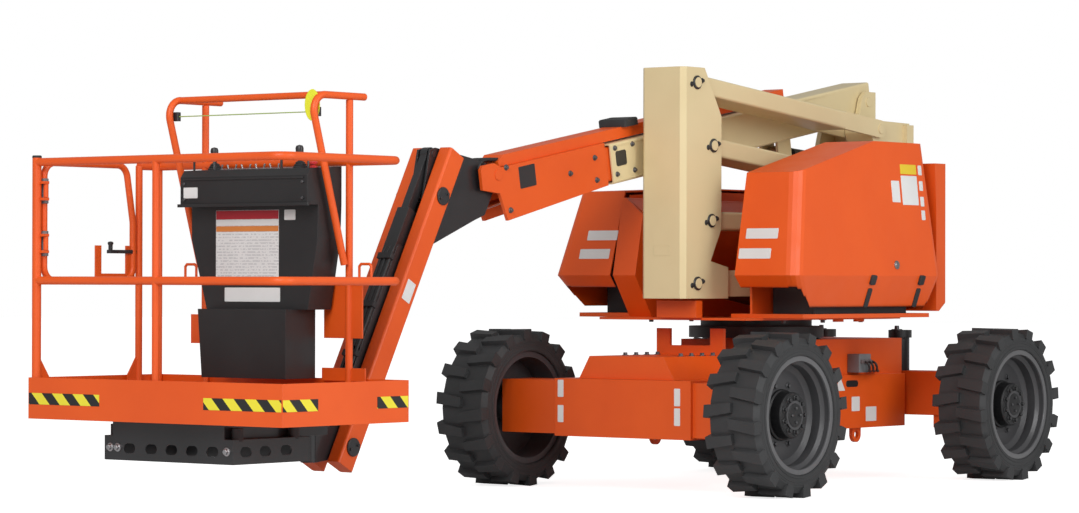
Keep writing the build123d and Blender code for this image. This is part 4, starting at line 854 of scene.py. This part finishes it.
def pin_head(mesh, place, side):
    """A pin's keeper plate with its pair of bolts, on the side of the upright."""
    base = pin_face("upright", place, side, tower_y)
    lathe(mesh, base, ((-sunk, pin_radius), (0.006, pin_radius), (0.008, pin_radius - 0.003)), 32)
    for way in (-1, 1):
        bolt(mesh, base @ Matrix.Translation((way * pin_radius * 1.28, way * 0.3 * pin_radius, -sunk)), 0.016)


for side, word in both_sides:
    mesh = bmesh.new()
    for place in upright_pins:
        pin_head(mesh, place, side)
    piece(f"upright_pin_heads_{word}", "upright", "black_paint", mesh)
    mesh = bmesh.new()
    for place in (pin("tower_lift"), link_foot):
        base = pin_face("turntable_frame", place, side, tower_y)
        lathe(mesh, base, ((-sunk, pin_radius), (0.008, pin_radius)), 32)
    piece(f"mast_pin_heads_{word}", "turntable", "black_paint", mesh)


# --- hoods ------------------------------------------------------------------------------------------
def from_front(node, x, y, z):
    """A place on a node's front, looked at from x ahead of the swing axis."""
    return on_surface(node, (swing.x + x, y, z), -X)


def from_side(node, x, z, side=1):
    """A place on a node's side, x ahead of the swing axis."""
    return on_surface(node, (swing.x + x, side * 2.0, z), -Y * side)


for node, letter, y, z in (("hood_left", "a", 0.52, 1.265), ("hood_left", "b", 0.49, 1.167),
                           ("hood_right", "a", -0.475, 1.262), ("hood_right", "b", -0.505, 1.168)):
    label(f"label_{node}_{letter}", node, from_front(node, 2.0, y, z), 0.19, 0.052)
for name, finish, x, z, width, height in (("label_side_top", "label_yellow", -0.352, 1.602, 0.15, 0.050),
                                          ("label_side_main", "label_white", -0.352, 1.495, 0.15, 0.150),
                                          ("label_side_small", "label_white", -0.220, 1.487, 0.075, 0.110)):
    label(name, "hood_left", from_side("hood_left", x, z), width, height, finish)
for index, z in enumerate((1.60, 1.52, 1.44, 1.37)):
    label(f"label_side_strip_{index}", "hood_left", from_side("hood_left", -0.462, z), 0.034, 0.050)


def dress_hood(node, side):
    """Two rubber straps with their feet, and a lock."""
    mesh = bmesh.new()
    for x in (0.05, -0.40):
        prism(mesh, raised(from_side(node, x, 1.04, side), -sunk), rounded(0.042, 0.05, 0.006), 0.014, 0.003)
        prism(mesh, raised(from_side(node, x, 0.95, side), -sunk), rounded(0.034, 0.10, 0.006), 0.008, 0.002)
    piece(node.replace("hood", "hood_straps"), node, "grip_rubber", mesh)
    turned(node.replace("hood", "hood_lock"), node, "zinc", from_side(node, -0.17, 1.115, side),
           ((-sunk, 0.022), (0.004, 0.022), (0.005, 0.016), (0.009, 0.015)), 28)


dress_hood("hood_left", 1)
dress_hood("hood_right", -1)

# Louvres let the engine breathe through the right hood.
louvre_count, louvre_pitch, louvre_tilt = 7, 0.028, -14.0
mesh = bmesh.new()
for row in range(louvre_count):
    base = raised(from_side("hood_right", 0.18, 1.20 + louvre_pitch * row, -1), -sunk)
    base = base @ Matrix.Rotation(math.radians(louvre_tilt), 4, "X")
    prism(mesh, base, rounded(0.20, 0.014, 0.005), 0.005, 0.002)
piece("hood_louvres_right", "hood_right", "hood_shell", mesh)

# --- turntable --------------------------------------------------------------------------------------
bolts("deck_bolts", "turntable",
      [on_surface("turntable_frame", (swing.x + x, y, 0.1), Z, X)
       for x in (-0.35, 0.0, 0.35) for y in (-0.41, 0.41)], 0.022)
mesh = bmesh.new()
for x in (-0.10, -0.29):
    box_between(mesh, (swing.x + x - 0.035, 0.425, 0.826), (swing.x + x + 0.035, 0.449, 0.852))
piece("deck_lugs", "turntable", "orange_paint", mesh)

# --- counterweight ----------------------------------------------------------------------------------
def on_weight(y, z):
    """A place on the counterweight's rear."""
    return on_surface("counterweight", (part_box("counterweight")[0].x - 1.0, y, z), X)


for side, word in both_sides:
    base = on_weight(side * 0.50, 1.02)
    mesh = bmesh.new()
    ring(mesh, base, 0.040, 0.048, -0.002, 0.008, 40)
    piece(f"lamp_ring_{word}", "turntable", "grip_rubber", mesh)
    turned(f"lamp_{word}", "turntable", "lamp_red", base,
           ((-sunk, 0.0405), (0.006, 0.039), (0.010, 0.028), (0.012, 0.0)), 40)
bolts("weight_bolts", "turntable", [on_weight(y, z) for y in (-0.28, 0.28) for z in (0.93, 1.16)], 0.036)
label("label_weight", "turntable", on_weight(0.0, 1.10), 0.24, 0.12)

# --- chassis ----------------------------------------------------------------------------------------
def on_spine(x, y):
    """A place on top of the chassis, x ahead of the swing axis."""
    return on_surface("chassis_frame", (swing.x + x, y, 1.2), -Z, X)


for side, word in both_sides:
    for letter, x, z, width in (("a", -0.395, 0.40, 0.075), ("b", -0.54, 0.345, 0.10)):
        base = from_side("chassis_frame", x, z, side)
        label(f"label_chassis_{word}_{letter}", "chassis", base, width, 0.075)
    plate(f"label_triangle_{word}", "chassis", "label_white", from_side("chassis_frame", -0.25, 0.505, side),
          ((-0.045, -0.035), (0.045, -0.035), (0.0, 0.038)), 0.0012)
    plate(f"slot_cover_{word}", "chassis", "black_paint", from_side("chassis_frame", -0.36, 0.505, side),
          rounded(0.11, 0.034, 0.016), 0.003, 0.001)
for letter, y, z in (("a", -0.378, 0.50), ("b", -0.378, 0.375), ("c", 0.335, 0.47), ("d", 0.335, 0.375)):
    label(f"label_axle_{letter}", "chassis", from_front("front_axle", 3.0, y, z), 0.036, 0.085)

# The bearing's bolts, without those near the frame's sides and those ahead of its high top.
bearing_circle, bearing_bolt_count = 0.318, 20
bearing_bolts = circle(bearing_circle, bearing_bolt_count)
bolts("bearing_bolts", "chassis",
      [on_spine(x, y) for x, y in bearing_bolts if abs(y) < 0.30 and x < 0.17], 0.018)
bolts("spine_bolts", "chassis",
      [on_spine(0.62 + 0.09 * step, side * 0.17) for step in range(4) for side in (-1, 1)], 0.02)

# A valve block at the chassis's left side, with a hose from each port.
valve = Vector((swing.x - 0.40, 0.375, 0.628))
port_offsets = (-0.035, 0.0, 0.035)
mesh = bmesh.new()
box_between(mesh, valve + Vector((-0.055, -0.045, -0.065)), valve + Vector((0.055, 0.03, 0.03)))
for offset in port_offsets:
    lathe(mesh, facing(valve + Vector((offset, 0.028, -0.01)), Y),
          ((0.0, 0.012), (0.014, 0.012), (0.015, 0.008), (0.024, 0.008)), 18)
piece("valve_block", "chassis", "strap_grey", mesh)
valve_hose_route = ((0.0, 0.0, 0.0), (0.0, 0.022, 0.0), (-0.01, 0.03, -0.03), (-0.05, 0.0, -0.052),
                    (-0.12, -0.03, -0.05), (-0.17, -0.075, -0.05))
for index, offset in enumerate(port_offsets):
    start = valve + Vector((offset, 0.045, -0.01))
    hose(f"valve_hose_{index}", "chassis", [start + Vector(step) for step in valve_hose_route], 0.012)

lock_low, lock_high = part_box("axle_lock_cylinders")
for (side, word), y in zip(both_sides, (lock_high.y - 0.062, lock_low.y + 0.062)):
    turned(f"lock_fitting_{word}", "chassis", "dull_steel",
           facing(((lock_low.x + lock_high.x) / 2, y, lock_high.z - sunk), Z, X),
           ((0.0, 0.03), (0.006, 0.028), (0.006, 0.013), (0.024, 0.012)), 28)

# --- upright: hoses and label -----------------------------------------------------------------------
upright_low, upright_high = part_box("upright")
hose_x = upright_high.x - 0.035
hose_levels = (upright_low.z + 0.02, upright_low.z + 0.12, 1.35, 1.60,
               upright_high.z - 0.30, upright_high.z - 0.16)
for index, offset in enumerate((0.0, 0.03, 0.06)):
    hose(f"upright_hose_{index}", "upright", [(hose_x, tower_y + offset, z) for z in hose_levels], 0.018)
upright_front = on_surface("upright", (upright_high.x + 1.0, tower_y, 1.18), -X)
label("label_upright", "upright", upright_front, 0.10, 0.05, "tan_paint")


# --- floor and light --------------------------------------------------------------------------------
floor_lift = 0.8  # the floor's own glow, which only the camera sees
world_light = 0.38  # how strongly the white surround lights the machine


def make_floor():
    """A white floor that keeps a soft shadow."""
    mesh = bmesh.new()
    bmesh.ops.create_grid(mesh, x_segments=1, y_segments=1, size=60.0)
    data = bpy.data.meshes.new("floor")
    mesh.to_mesh(data)
    mesh.free()
    floor = bpy.data.objects.new("floor", data)
    bpy.context.collection.objects.link(floor)
    material = bpy.data.materials.new("floor_white")
    material.use_nodes = True
    tree = material.node_tree
    shader = tree.nodes["Principled BSDF"]
    shader.inputs["Base Color"].default_value = (0.82, 0.82, 0.82, 1.0)
    shader.inputs["Roughness"].default_value = 0.9
    shader.inputs["Specular IOR Level"].default_value = 0.1
    shader.inputs["Emission Color"].default_value = (1.0, 1.0, 1.0, 1.0)
    seen = tree.nodes.new("ShaderNodeLightPath").outputs["Is Camera Ray"]
    tree.links.new(arithmetic(tree, "MULTIPLY", seen, floor_lift), shader.inputs["Emission Strength"])
    data.materials.append(material)
    floor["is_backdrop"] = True


def make_world():
    """A white surround, seen at full strength and lighting at a lower one."""
    world = bpy.data.worlds.new("studio")
    bpy.context.scene.world = world
    world.use_nodes = True
    tree = world.node_tree
    background = tree.nodes["Background"]
    background.inputs["Color"].default_value = (1.0, 1.0, 1.0, 1.0)
    path = tree.nodes.new("ShaderNodeLightPath")
    seen = arithmetic(tree, "MAXIMUM", path.outputs["Is Camera Ray"], path.outputs["Is Transmission Ray"])
    tree.links.new(ramp(tree, seen, 0.0, 1.0, world_light, 1.0), background.inputs["Strength"])


def make_light(name, place, power):
    """A square lamp that looks at the machine's middle."""
    data = bpy.data.lights.new(name, "AREA")
    data.size = 6.0
    data.energy = power
    lamp = bpy.data.objects.new(name, data)
    lamp.location = place
    lamp.rotation_euler = (Z - Vector(place)).to_track_quat("-Z", "Y").to_euler()
    bpy.context.collection.objects.link(lamp)


make_floor()
make_world()
make_light("key", (10.0, 4.0, 6.5), 720.0)
make_light("side", (0.0, 11.0, 5.0), 530.0)
bpy.context.scene.view_settings.view_transform = "Standard"

low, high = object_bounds()
